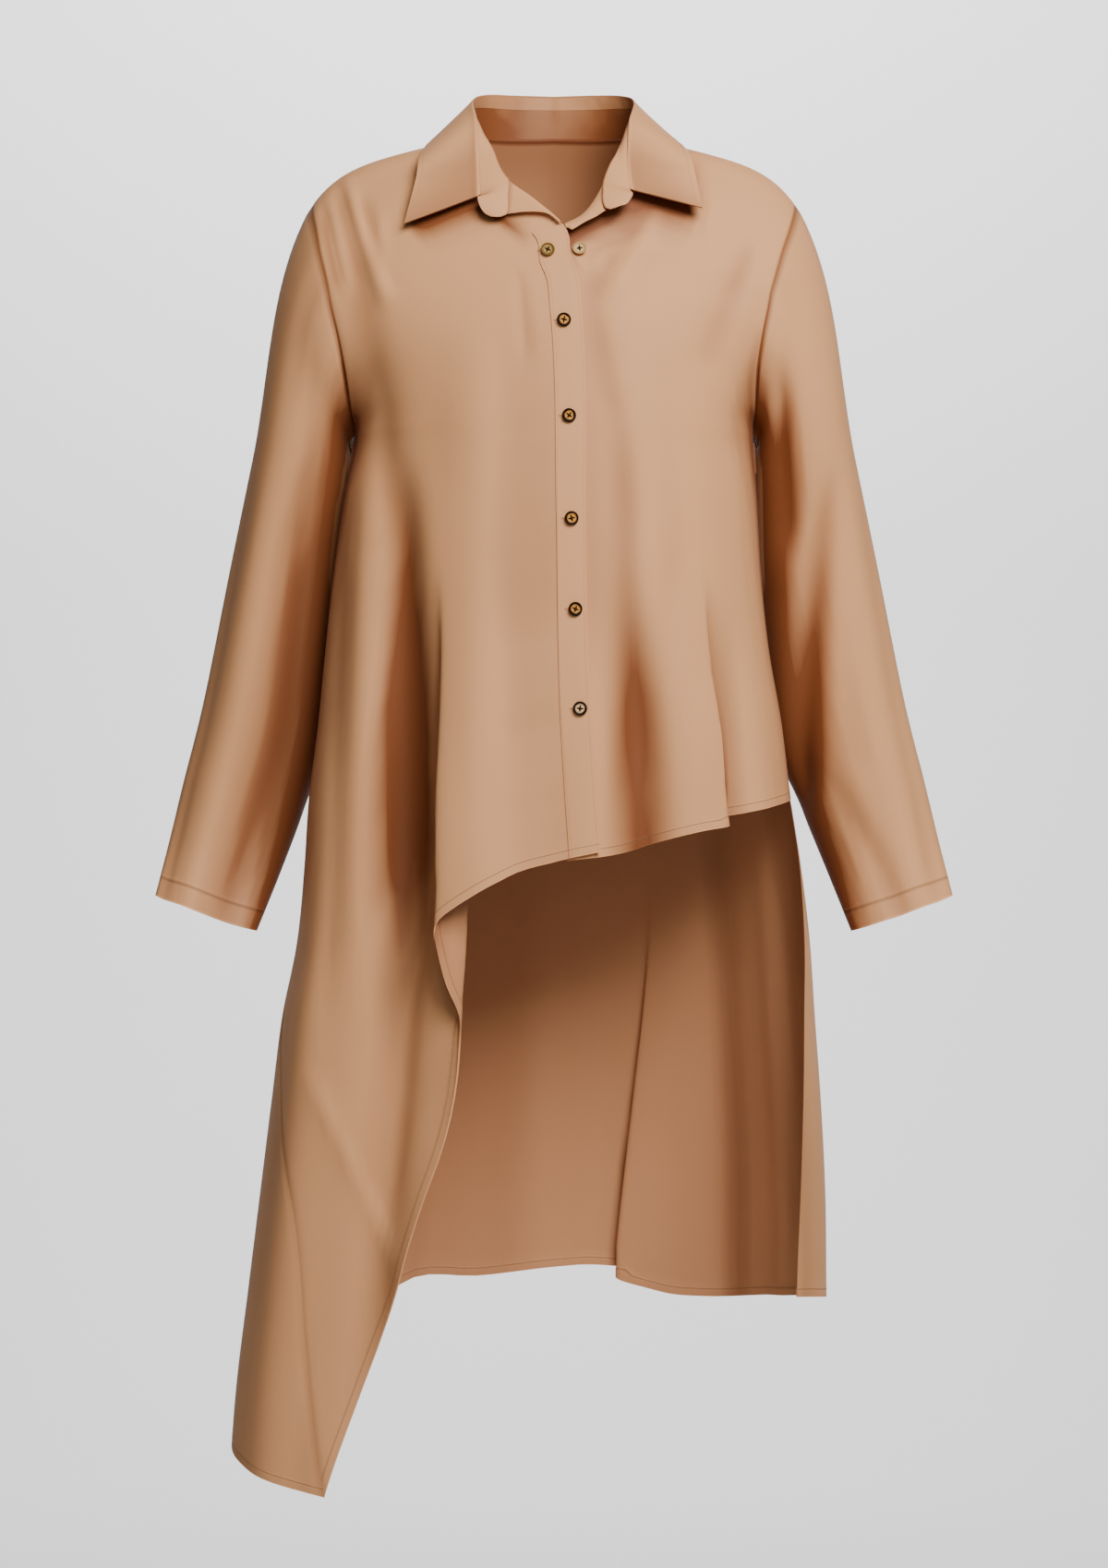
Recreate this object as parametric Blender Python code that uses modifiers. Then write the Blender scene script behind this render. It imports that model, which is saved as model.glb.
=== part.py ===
"""Asymmetric shirt: a loose long-sleeved shirt with a slanting front hem, a long tail at the wearer's
right side, a slit at the left side and a buttoned placket. Tables are in millimetres and degrees,
the model is in metres. Front is -Y, up is +Z, the wearer's right is -X. The origin is at the base of the
neck, where the wearer's shoulders hold the shirt."""

import bpy
import numpy as np
from mathutils import Vector

MM = 0.001

# Cloth
WALL = 1.4            # cloth of the large panels
TRIM_WALL = 1.2       # placket, button stand and neck facings
COLLAR_WALL = 1.5     # collar stand and leaf, two layers each
SEAM_PULL = 0.29      # each border drawn back from its seam
HEAD_PULL = 4         # times as far at a sleeve's head
HEAD_ASIDE = 0.95     # the head's first rings also stand this far out from the body
LAY_GAP = 0.35        # air between a panel and what lies on it

# Placket and overlap
PLACKET_WIDTH = 25.0
OVERLAP = 27.0        # the left front reaches this far under the right front's edge
UNDER_STEP = 3.9      # the left front's overlap sits this far behind the right front
UNDER_FADE = 50.0     # and comes forward again over this width

# Levels
ARMPIT_Z = -243.0
ROW_UNIT = 40.0       # millimetres of height to one row number below the armpit
SLIT_Z = -548.0       # top of the slit at the wearer's left
NECK_SHARE = 0.34     # of the back's half-width, where the neck meets the shoulder seam

# Buttons
BUTTON_RADIUS = 5.8
BUTTON_THICK = 2.0
BUTTON_RIM = 1.2
BUTTON_SIDES = 14

# How finely each piece is divided
ROWS_UPPER = (0, 1, 2, 3, 4, 4.5, 5, 6, 7, 8, 9)
ROWS_RIGHT = 21       # below the armpit, down the right side seam
ROWS_SIDE = 8         # of the left side, armpit to slit
COLS_TRIM = 2
COLS_RIGHT = 17
COLS_LEFT = 12
COLS_NECK = 4
RINGS_CAP = 6
RINGS_ARM = 10
COLLAR_STEPS = 11

# Fronts above the armpit, right then left: row, inner edge x y z, armhole x y z, arc, shoulder hump
FRONT_RIGHT_UPPER = (
    (0.0, 70, 8, 11, 205, 10, -47, 20, 15),
    (1.0, 67, -7, 11, 204, -8, -57, 24, 13),
    (2.0, 60, -21, 7, 200, -26, -73, 30, 9),
    (3.0, 51, -43, -9, 196, -41, -93, 36, 5),
    (4.0, 37, -66, -38, 190, -52, -117, 43, 2),
    (4.5, 19, -79, -55, 188, -56, -128, 47, 1),
    (5.0, 0, -90, -79, 186, -58, -140, 51, 0),
    (6.0, 0, -100, -112, 180, -58, -166, 57, 0),
    (7.0, 0, -110, -150, 175, -48, -194, 65, 0),
    (8.0, 0, -117, -195, 171, -28, -222, 77, 0),
    (9.0, 0, -123, -243, 168, -4, -243, 90, 0),
)
FRONT_LEFT_UPPER = (
    (0.0, 70, 8, 11, 205, 10, -47, 20, 15),
    (1.0, 66, -7, 9, 203, -8, -57, 24, 13),
    (2.0, 59, -21, 4, 198, -26, -73, 30, 9),
    (3.0, 52, -43, -13, 191, -41, -93, 36, 5),
    (4.0, 41, -66, -39, 184, -52, -117, 43, 2),
    (4.5, 31, -79.5, -73, 181, -56, -128, 47, 1),
    (5.0, 4, -88, -90, 179, -58, -140, 51, 0),
    (6.0, 0, -98, -110, 174, -58, -166, 57, 0),
    (7.0, 0, -109.5, -150, 170, -48, -194, 65, 0),
    (8.0, 0, -117, -195, 169, -28, -222, 77, 0),
    (9.0, 0, -123, -243, 168, -4, -243, 90, 0),
)
# Back above the armpit: row, centre y z, armhole x (right, left), y, z, arc
BACK_UPPER = (
    (0.0, 60, 15, 205, 205, 10, -46, 30),
    (1.0, 71, -14, 205, 204, 28, -58, 34),
    (2.0, 79, -43, 203, 201, 44, -76, 39),
    (3.0, 85, -72, 199, 196, 56, -97, 44),
    (4.0, 89, -102, 195, 190, 63, -120, 50),
    (4.5, 91, -118, 193, 187, 65, -132, 53),
    (5.0, 92, -134, 190, 184, 66, -145, 56),
    (6.0, 94, -164, 184, 178, 61, -171, 63),
    (7.0, 95, -192, 178, 173, 48, -197, 71),
    (8.0, 95, -218, 172, 169, 26, -223, 81),
    (9.0, 93, -243, 168, 168, -4, -243, 90),
)
# Body below the armpit: z, half-width right and left, y at the side, front and back
BODY = (
    (-243, 168, 168, -4, -123, 93),
    (-300, 178, 171, -8, -127, 90),
    (-360, 186, 174, -12, -130, 88),
    (-420, 192, 180, -14, -133, 88),
    (-485, 198, 191, -16, -137, 91),
    (-550, 206, 199, -16, -141, 96),
    (-610, 210, 208, -16, -145, 101),
    (-670, 216, 215, -16, -148, 106),
    (-730, 228, 219, -16, -150, 111),
    (-800, 237, 224, -16, -150, 116),
    (-880, 247, 228, -15, -148, 121),
    (-960, 257, 229, -14, -144, 125),
    (-1040, 267, 230, -12, -138, 128),
    (-1130, 274, 230, -10, -132, 130),
)
# Edge of the right front past the centre: z, x
RIGHT_EDGE = ((-70, 6), (-83, 8), (-97, 10), (-121, 19), (-148, 22), (-312, 27), (-470, 30), (-600, 38))
# Side seam at the right and free edge at the left slit: z, angle from the centre front
RIGHT_SEAM = ((-243, 90), (-690, 90), (-780, 76), (-880, 60), (-1000, 52), (-1130, 45))
LEFT_SEAM = ((-243, 90), (-560, 90), (-640, 80), (-760, 70), (-960, 60), (-1000, 60))
# Hems: share of the way from the inner edge to the side seam, z
HEM_RIGHT = (
    (0.0, -592), (0.10, -600), (0.20, -613), (0.275, -637), (0.307, -661), (0.335, -700), (0.375, -740),
    (0.42, -803), (0.51, -880), (0.59, -932), (0.79, -1033), (1.0, -1125),
)
HEM_LEFT = ((0.0, -599), (0.18, -592), (0.32, -580), (0.45, -570), (0.5, -564), (0.56, -561), (1.0, -548))
# Hem of the back: angle round the body from the right seam's own angle to the left's, z
HEM_BACK = (
    (45, -1125), (60, -1112), (90, -1090), (120, -1050), (140, -1000), (152, -968), (165, -966),
    (180, -958), (195, -962), (202, -976), (215, -982), (235, -976), (270, -968), (300, -960),
)
# Pleat-like folds: angle at top and foot, z where it starts, is full, starts to fade, ends,
# overlap, half-width, depth (mm), reach. Where the depth is above nought, the layer at the greater
# angle lies outside. Angles are above nought at the wearer's left.
PLEATS = (
    (-31.0, -23.0, -340, -620, -760, -930, 5.0, 2.6, 28, 17),
    (45.0, 42.5, -340, -520, -700, -760, 3.6, 2.2, -13, 13),
    (155.0, 164.0, -560, -940, -1200, -1300, 4.0, 2.4, 12, 15),
)
# Soft folds: angle at top and foot, z where it starts and is full, height (mm), half-width
WAVES = (
    (23.0, 22.0, -330, -520, -17, 7.0),
    (-41.0, -36.5, -320, -580, -24, 8.0),
    (11.0, 10.0, -380, -560, 4, 6.0),
    (-19.0, -17.0, -300, -600, 7, 7.0),
    (-50.0, -48.0, -330, -700, -6, 7.0),
    (-66.0, -62.0, -330, -760, 5, 8.0),
    (60.0, 58.0, -380, -560, 4, 7.0),
    (138.0, 138.0, -420, -900, 12, 7.0),
    (122.0, 118.0, -420, -900, -9, 6.0),
    (182.0, 184.0, -420, -900, -13, 8.0),
    (204.0, 208.0, -420, -900, 11, 8.0),
    (225.0, 230.0, -420, -900, -9, 8.0),
)
# Sleeve from the first full ring to the cuff: outer x z, inner x (right, left) z, middle y, half-depth
SLEEVE = (
    (256, -262, 171, 168, -272, 22, 55),
    (276, -352, 181, 171, -375, 38, 54),
    (299, -465, 193, 186, -492, 42, 49),
    (316, -535, 213, 211, -558, 37, 42),
    (327, -585, 232, 232, -611, 25, 33),
    (337, -631, 251, 251, -661, 4, 22),
)
# Collar at each side from the centre back: fold and outer edge x y z, share of the stand in the rise
COLLAR_RIGHT = (
    (0, 64, 55, 0, 82, 9, 0.66),
    (34, 58, 55, 44, 77, 8, 0.66),
    (58, 37, 52, 80, 57, 6, 0.68),
    (68, 6, 42, 102, 12, 8, 0.72),
    (65, -29, 20, 112, -32, -11, 0.80),
    (64, -54, -19, 115, -53, -34, 0.86),
    (63, -76, -51, 124, -70, -73, 0.90),
)
COLLAR_LEFT = (
    (0, 64, 55, 0, 82, 9, 0.66),
    (34, 58, 55, 44, 77, 8, 0.66),
    (58, 37, 51, 80, 57, 6, 0.68),
    (67, 6, 41, 101, 12, 8, 0.72),
    (63, -29, 18, 113, -32, -9, 0.80),
    (62, -54, -18, 117, -53, -28, 0.86),
    (65, -76, -46, 123, -70, -60, 0.90),
)
# Rounded ends of the stand, turned outward, below the leaf: inner x y z, outer x y z
TAB_RIGHT = (
    (37, -77, -50, 63, -81, -53),
    (37, -83, -60, 61, -85, -61),
    (38, -87, -67, 57, -87, -67),
    (43, -88, -70, 52, -88, -70),
)
TAB_LEFT = (
    (40, -78, -48, 65, -81, -50),
    (40, -83, -56, 63, -84, -55),
    (42, -86, -62, 60, -86, -59),
    (46, -87, -64, 55, -87, -61),
)
# Neck facings turned outward between the stand's end and the top of the placket: x y z of the lower edge
FACING_RIGHT = ((-35, -87, -67), (-23, -89, -66), (-8, -91, -67), (1, -93, -72), (7, -94, -79))
FACING_LEFT = ((40, -86, -66), (34, -87, -70), (26, -88, -74), (18, -89, -79), (11, -90, -83))
# Buttons: x, z, which layer carries it (1 the right front, 0 the button stand)
BUTTONS = (
    (-5, -99, 1), (21, -97, 0), (8, -158, 1), (12, -237, 1), (14, -321, 1), (17, -395, 1), (21, -476, 1),
)

CLOTH_COLOUR = (0.56, 0.33, 0.21, 1.0)
BUTTON_COLOUR = (0.13, 0.06, 0.02, 1.0)


# ---------------------------------------------------------------- reading the tables
def column(rows, index):
    return np.array([row[index] for row in rows], dtype=float)


def smooth(keys, values, at):
    """Cubic curve through a table's values, straight past its ends."""
    at = np.asarray(at, dtype=float)
    slopes = np.gradient(values, keys)
    i = np.clip(np.searchsorted(keys, at, side="right") - 1, 0, len(keys) - 2)
    span = keys[i + 1] - keys[i]
    t = np.clip((at - keys[i]) / span, 0.0, 1.0)
    t2 = t * t
    t3 = t2 * t
    curve = (2 * t3 - 3 * t2 + 1) * values[i] + (t3 - 2 * t2 + t) * span * slopes[i]
    curve = curve + (3 * t2 - 2 * t3) * values[i + 1] + (t3 - t2) * span * slopes[i + 1]
    past = np.minimum(at - keys[0], 0) * slopes[0] + np.maximum(at - keys[-1], 0) * slopes[-1]
    return curve + past


def by_height(rows, index, z):
    return smooth(-column(rows, 0), column(rows, index), -np.asarray(z, dtype=float))


def ease(t):
    t = np.clip(t, 0.0, 1.0)
    return t * t * (3 - 2 * t)


def row_of(z):
    return 9.0 + (ARMPIT_Z - np.asarray(z, dtype=float)) / ROW_UNIT


# ---------------------------------------------------------------- the garment's surface
def front_rows(side):
    """Row table of one front, from the shoulder to below the tail."""
    upper = FRONT_RIGHT_UPPER if side < 0 else FRONT_LEFT_UPPER
    rows = [list(row) for row in upper]
    for z, right, left, y_side, y_front, _ in BODY[1:]:
        width = right if side < 0 else left
        rows.append([float(row_of(z)), 0, y_front, z, width, y_side, z, 90, 0])
    return np.array(rows, dtype=float)


def back_rows(side):
    rows = []
    for row, y, z, right, left, y_arm, z_arm, arc in BACK_UPPER:
        rows.append([row, y, z, right if side < 0 else left, y_arm, z_arm, arc])
    for z, right, left, y_side, _, y_back in BODY[1:]:
        rows.append([float(row_of(z)), y_back, z, right if side < 0 else left, y_side, z, 90])
    return np.array(rows, dtype=float)


FRONTS = {-1: front_rows(-1), 1: front_rows(1)}
BACKS = {-1: back_rows(-1), 1: back_rows(1)}


def front_base(side, u, row):
    """Point of a front without folds: u is 0 at the centre front and 1 at the armhole or side."""
    table = FRONTS[side]
    xl, yl, zl, xr, yr, zr, arc, hump = (smooth(table[:, 0], table[:, k], row) for k in range(1, 9))
    arc = np.radians(np.clip(arc, 5, 90))
    share = np.sin(u * arc) / np.sin(arc)
    drop = (np.cos(u * arc) - np.cos(arc)) / (1 - np.cos(arc))
    x = xl + (xr - xl) * share
    y = yr + (yl - yr) * drop
    z = zl + (zr - zl) * u + hump * np.clip(u, 0, 1) * (1 - np.clip(u, 0, 1) ** 5) / 0.582
    return np.stack([side * x, y, z], axis=-1)


def back_base(side, u, row):
    """Point of the back without folds: u is 0 at the centre back and 1 at the armhole or side."""
    table = BACKS[side]
    yc, zc, xr, yr, zr, arc = (smooth(table[:, 0], table[:, k], row) for k in range(1, 7))
    arc = np.radians(np.clip(arc, 5, 90))
    x = xr * np.sin(u * arc) / np.sin(arc)
    y = yr + (yc - yr) * (np.cos(u * arc) - np.cos(arc)) / (1 - np.cos(arc))
    z = zc + (zr - zc) * u
    return np.stack([side * x, y, z], axis=-1)


def back_top(side, u):
    """The back's top edge: half the neckline, then the shoulder seam."""
    q = np.clip(u / NECK_SHARE, 0, 1)
    p = np.clip((u - NECK_SHARE) / (1 - NECK_SHARE), 0, 1)
    turn = np.radians(90 * q)
    neck = np.stack([side * 70 * np.sin(turn), 8 + 52 * np.cos(turn), 15 - 4 * q], -1)
    shoulder = front_base(side, p, np.zeros_like(p))
    return np.where((u <= NECK_SHARE)[..., None], neck, shoulder)


def back_shape(side, u, row):
    plain = back_base(side, u, row)
    top = back_top(side, u)
    flat = back_base(side, u, np.zeros_like(row))
    share = np.clip(1 - row / 3.5, 0, 1) ** 2
    return plain + (top - flat) * share[..., None]


def ring(angle, z):
    """Point of the body below the armpit, by angle from the centre front, without folds."""
    angle = (np.asarray(angle, dtype=float) + 180) % 360 - 180
    row = row_of(z)
    out = np.zeros(np.broadcast(angle, row).shape + (3,))
    size = np.abs(angle)
    for side in (-1, 1):
        here = (angle < 0) if side < 0 else (angle >= 0)
        fore = front_base(side, np.minimum(size, 90) / 90, row)
        aft = back_base(side, np.minimum(180 - size, 90) / 90, row)
        part = np.where((size <= 90)[..., None], fore, aft)
        out = np.where(here[..., None], part, out)
    return out


def fold_shift(angle, z):
    """Angle moved round the body and height raised off it, by the pleats and the soft folds."""
    angle = np.asarray(angle, dtype=float)
    moved = np.zeros_like(angle)
    raised = np.zeros_like(angle)
    for top, foot, z0, z1, z2, z3, overlap, width, depth, reach in PLEATS:
        grow = ease((z0 - z) / (z0 - z1)) * (1 - ease((z2 - z) / (z2 - z3)))
        mid = top + (foot - top) * np.clip((z0 - z) / (z0 - z1), 0, 1)
        off = (angle - mid + 180) % 360 - 180
        q = off / width
        hook = q * np.exp((1 - q * q) / 2)
        moved = moved - overlap * grow * hook
        raised = raised + grow * depth / 2 * np.tanh(1.5 * q) * np.exp(-(off / reach) ** 2)
    for top, foot, z0, z1, height, width in WAVES:
        grow = ease((z0 - z) / (z0 - z1))
        mid = top + (foot - top) * np.clip((z0 - z) / (z0 - z1), 0, 1)
        off = (angle - mid + 180) % 360 - 180
        raised = raised + grow * height * np.exp(-(off / width) ** 2)
    return moved, raised


def body_point(angle, z):
    moved, raised = fold_shift(angle, z)
    at = angle + moved
    here = ring(at, z)
    run = ring(at + 0.5, z) - ring(at - 0.5, z)
    out = np.stack([run[..., 1], -run[..., 0], np.zeros_like(run[..., 0])], -1)
    out = out / np.linalg.norm(out, axis=-1, keepdims=True)
    return here + out * raised[..., None]


# ---------------------------------------------------------------- the panels' grids
def crowd(count, where, width, gain):
    """Shares from 0 to 1, closer together round one place."""
    fine = np.linspace(0, 1, 801)
    weight = 1 + gain * np.exp(-((fine - where) / width) ** 2)
    total = np.concatenate([[0], np.cumsum((weight[1:] + weight[:-1]) / 2)])
    return np.interp(np.linspace(0, 1, count + 1), total / total[-1], fine)


def share_of(side, x, row):
    table = FRONTS[side]
    xl = smooth(table[:, 0], table[:, 1], row)
    xr = smooth(table[:, 0], table[:, 4], row)
    arc = np.radians(np.clip(smooth(table[:, 0], table[:, 7], row), 5, 90))
    return np.arcsin(np.clip(x * np.sin(arc) / (xr - xl), -0.9, 0.9)) / arc


def inner_edge(side, row, z):
    """How far past the centre the front's inner edge lies, as a share of its row."""
    x = by_height(RIGHT_EDGE, 1, z)
    reach = x if side < 0 else OVERLAP - x
    fade = ease((row - 4.0) / 1.0)
    return -share_of(side, reach, row) * fade, share_of(side, PLACKET_WIDTH - reach * fade, row)


def side_shares(side, cols):
    """Shares of the way from the placket to the side, closer together where the pleats run."""
    return crowd(cols, 0.27, 0.08, 3.5) if side < 0 else crowd(cols, 0.40, 0.10, 1.2)


def with_trim(first, second, tight):
    """Shares across a whole front: the placket's columns, then the rest."""
    return np.concatenate([np.linspace(first, second, COLS_TRIM + 1), second + (1 - second) * tight[1:]])


def front_grid(side, cols, lower):
    """Grid of one front: rows from the shoulder to the hem, columns from the inner edge to the side."""
    hem = HEM_RIGHT if side < 0 else HEM_LEFT
    seam = RIGHT_SEAM if side < 0 else LEFT_SEAM
    tight = side_shares(side, cols)
    grid = []
    for row in ROWS_UPPER:
        z_edge = float(smooth(FRONTS[side][:, 0], FRONTS[side][:, 3], row))
        first, second = inner_edge(side, float(row), z_edge)
        share = with_trim(first, second, tight)
        base = front_base(side, share, np.full_like(share, float(row)))
        moved, raised = fold_shift(side * 90 * share, base[:, 2])
        base[:, 1] -= raised * ease((float(row) - 3) / 4)
        grid.append(base)
    count = len(grid[0])
    for j in range(1, lower + 1):
        f = j / lower
        z = np.full(count, ARMPIT_Z + f * (-600 - ARMPIT_Z))
        for _ in range(4):
            first, second = inner_edge(side, row_of(z), z)
            share = with_trim(first[0], second[0], tight)
            along = (share - first[0]) / (1 - first[0])
            foot = smooth(column(hem, 0), column(hem, 1), along)
            z = ARMPIT_Z + (foot - ARMPIT_Z) * f
        reach = np.where(share > 0, by_height(seam, 1, z), 90.0)
        grid.append(body_point(side * reach * share, z))
    grid = np.array(grid)
    if side > 0:
        grid = tuck_under(grid)
    return grid


def tuck_under(grid):
    """Moves the left front's overlap behind the right front."""
    normals = grid_normals(grid)
    first = np.cumsum(np.linalg.norm(np.diff(grid, axis=1), axis=2), axis=1)
    along = np.concatenate([np.zeros((len(grid), 1)), first], axis=1)
    fade = 1 - ease((along - OVERLAP) / UNDER_FADE)
    rows = np.array(list(ROWS_UPPER) + [9.5] * (len(grid) - len(ROWS_UPPER)), dtype=float)
    fade = fade * ease((rows[:, None] - 3.6) / 1.2)
    return grid - normals * (UNDER_STEP * fade)[..., None]


def half_back_shares(side, cols):
    """Shares of the way from the centre back to the armhole: the neckline, then the front's own columns."""
    first, second = inner_edge(side, 0.0, float(FRONTS[side][0, 3]))
    shoulder = with_trim(first, second, side_shares(side, cols))
    neck = np.linspace(0, NECK_SHARE, COLS_NECK + 1)
    return np.concatenate([neck, NECK_SHARE + (1 - NECK_SHARE) * shoulder[1:]])


def back_grid(right, left):
    """Grid of the back: rows down, columns from the right armhole round to the left."""
    share_right = half_back_shares(-1, right)
    share_left = half_back_shares(1, left)
    grid = []
    for row in ROWS_UPPER:
        right_half = back_shape(-1, share_right, np.full_like(share_right, float(row)))[::-1]
        left_half = back_shape(1, share_left, np.full_like(share_left, float(row)))[1:]
        grid.append(np.concatenate([right_half, left_half]))
    side_share = np.concatenate([-share_right[::-1], share_left[1:]])
    across = (side_share + 1) / 2
    slit = (SLIT_Z - ARMPIT_Z) / (HEM_BACK[-1][1] - ARMPIT_Z)
    for j in range(1, ROWS_RIGHT + 1):
        even = j / ROWS_RIGHT
        if j <= ROWS_SIDE:
            stepped = slit * j / ROWS_SIDE
        else:
            stepped = slit + (1 - slit) * (j - ROWS_SIDE) / (ROWS_RIGHT - ROWS_SIDE)
        part = even + (stepped - even) * ease(across)
        z = np.full(len(across), -600.0)
        for _ in range(6):
            right_angle = by_height(RIGHT_SEAM, 1, z)
            left_angle = by_height(LEFT_SEAM, 1, z)
            turn = np.where(
                side_share < 0,
                180 + side_share * (180 - right_angle),
                180 + side_share * (180 - left_angle),
            )
            foot = smooth(column(HEM_BACK, 0), column(HEM_BACK, 1), turn)
            z = ARMPIT_Z + (foot - ARMPIT_Z) * part
        z[0] = ARMPIT_Z + (HEM_RIGHT[-1][1] - ARMPIT_Z) * even
        turn[0] = by_height(RIGHT_SEAM, 1, z[0])
        if j <= ROWS_SIDE:
            z[-1] = ARMPIT_Z + (SLIT_Z - ARMPIT_Z) * j / ROWS_SIDE
            turn[-1] = 360 - by_height(LEFT_SEAM, 1, z[-1])
        grid.append(body_point(-turn, z))
    return np.array(grid)


def arm_loop(side):
    """Armhole, from the shoulder down the front to the armpit and up the back."""
    rows = np.array(ROWS_UPPER, dtype=float)
    ones = np.ones_like(rows)
    fore = front_base(side, ones, rows)
    aft = back_shape(side, ones, rows)[::-1]
    return np.concatenate([fore, aft[1:-1]])


def sleeve_ring(side, turn, level):
    """Point of the sleeve below its first full ring."""
    keys = np.arange(len(SLEEVE), dtype=float)
    ox, oz, right, left, iz, y, deep = (smooth(keys, column(SLEEVE, k), level) for k in range(7))
    ix = right if side < 0 else left
    mid_x = (ox + ix) / 2
    mid_z = (oz + iz) / 2
    c = np.cos(turn)
    s = np.sin(turn)
    x = mid_x + (ox - mid_x) * c
    z = mid_z + (oz - mid_z) * c
    return np.stack([side * x, y - deep * s, z + 0 * x], -1)


def sleeve_grid(side):
    """Grid of a sleeve: rows from the armhole to the cuff, columns round the arm."""
    loop = arm_loop(side)
    rows = np.array(ROWS_UPPER, dtype=float) / 9
    turn = np.concatenate([np.pi * rows, (2 * np.pi - np.pi * rows[::-1])[1:-1]])
    first = sleeve_ring(side, turn, np.zeros_like(turn))
    away = sleeve_ring(side, turn, np.full_like(turn, 0.1)) - first
    away = away / np.linalg.norm(away, axis=1, keepdims=True)
    length = np.linalg.norm(first - loop, axis=1, keepdims=True)
    steep = np.radians(52 + 8 * np.cos(turn))
    leave = np.stack([side * np.cos(steep), 0.25 * np.sin(turn) * np.cos(steep), -np.sin(steep)], -1)
    leave = leave / np.linalg.norm(leave, axis=1, keepdims=True)
    grid = []
    for k in range(RINGS_CAP):
        t = k / RINGS_CAP
        h00 = 2 * t**3 - 3 * t**2 + 1
        h10 = t**3 - 2 * t**2 + t
        h01 = 3 * t**2 - 2 * t**3
        h11 = t**3 - t**2
        grid.append(h00 * loop + h10 * leave * length + h01 * first + h11 * away * length)
    for k in range(RINGS_ARM + 1):
        level = (len(SLEEVE) - 1) * k / RINGS_ARM
        grid.append(sleeve_ring(side, turn, np.full_like(turn, level)))
    return np.array(grid)


# ---------------------------------------------------------------- solids from grids
def grid_normals(grid, closed=False):
    """Outward normals of a grid; its rows run down and its columns run left to right as seen."""
    down = np.gradient(grid, axis=0)
    if closed:
        across = (np.roll(grid, -1, axis=1) - np.roll(grid, 1, axis=1)) / 2
    else:
        across = np.gradient(grid, axis=1)
    n = np.cross(down, across)
    size = np.linalg.norm(n, axis=2, keepdims=True)
    return n / np.maximum(size, 1e-9)


def draw_back(grid, pull, closed=False):
    """Moves a grid's borders inward along the cloth, further at a sleeve's head."""
    out = grid.copy()
    for edge, inner in ((0, 1), (-1, -2)):
        way = grid[inner] - grid[edge]
        out[edge] += way / np.linalg.norm(way, axis=1, keepdims=True) * pull * (HEAD_PULL if closed else 1)
    if not closed:
        for edge, inner in ((0, 1), (-1, -2)):
            way = grid[:, inner] - grid[:, edge]
            out[:, edge] += way / np.linalg.norm(way, axis=1, keepdims=True) * pull
    return out


def shell(outer, inner, closed=False):
    """Closed mesh between two grids of the same size."""
    rows, cols = outer.shape[:2]
    verts = np.concatenate([outer.reshape(-1, 3), inner.reshape(-1, 3)])
    back = rows * cols
    faces = []
    last = cols if closed else cols - 1
    for i in range(rows - 1):
        for j in range(last):
            k = (j + 1) % cols
            a, b, c, d = i * cols + j, i * cols + k, (i + 1) * cols + k, (i + 1) * cols + j
            faces.append((a, d, c, b))
            faces.append((back + a, back + b, back + c, back + d))
    rim = []
    for j in range(last):
        k = (j + 1) % cols
        rim.append((j, k))
        rim.append(((rows - 1) * cols + k, (rows - 1) * cols + j))
    if not closed:
        for i in range(rows - 1):
            rim.append(((i + 1) * cols, i * cols))
            rim.append((i * cols + cols - 1, (i + 1) * cols + cols - 1))
    for a, b in rim:
        # The shorter diagonal, so that two walls along one seam are cut alike
        if np.linalg.norm(verts[a] - verts[back + b]) < np.linalg.norm(verts[b] - verts[back + a]):
            faces += [(a, b, back + b), (a, back + b, back + a)]
        else:
            faces += [(a, b, back + a), (b, back + b, back + a)]
    return verts, faces


def signed_volume(verts, faces):
    total = 0.0
    for face in faces:
        for n in range(1, len(face) - 1):
            total += np.dot(verts[face[0]], np.cross(verts[face[n]], verts[face[n + 1]]))
    return total / 6


def material(name, colour, roughness, metallic=0.0):
    mat = bpy.data.materials.get(name)
    if mat is None:
        mat = bpy.data.materials.new(name)
        mat.use_nodes = True
        shader = mat.node_tree.nodes["Principled BSDF"]
        shader.inputs["Base Color"].default_value = colour
        shader.inputs["Roughness"].default_value = roughness
        shader.inputs["Metallic"].default_value = metallic
        mat.diffuse_color = colour
    return mat


def add_solid(name, verts, faces, mat, folder):
    if signed_volume(verts, faces) < 0:
        faces = [tuple(reversed(face)) for face in faces]
    mesh = bpy.data.meshes.new(name)
    mesh.from_pydata([tuple(float(c) * MM for c in v) for v in verts], [], faces)
    mesh.update()
    mesh.materials.append(mat)
    item = bpy.data.objects.new(name, mesh)
    folder.objects.link(item)
    return item


# ---------------------------------------------------------------- the whole shirt
def weld_normals(panels, normals):
    """Gives the panels one shared normal wherever their borders meet."""
    found = {}
    for name, grid in panels.items():
        rows, cols = grid.shape[:2]
        for i in range(rows):
            for j in range(cols):
                if 0 < i < rows - 1 and 0 < j < cols - 1:
                    continue
                key = tuple(np.round(grid[i, j], 1))
                found.setdefault(key, []).append((name, i, j))
    for places in found.values():
        if len(places) > 1:
            total = sum(normals[name][i, j] for name, i, j in places)
            size = np.linalg.norm(total)
            if size > 0.3:
                for name, i, j in places:
                    normals[name][i, j] = total / size
    return normals


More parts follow.
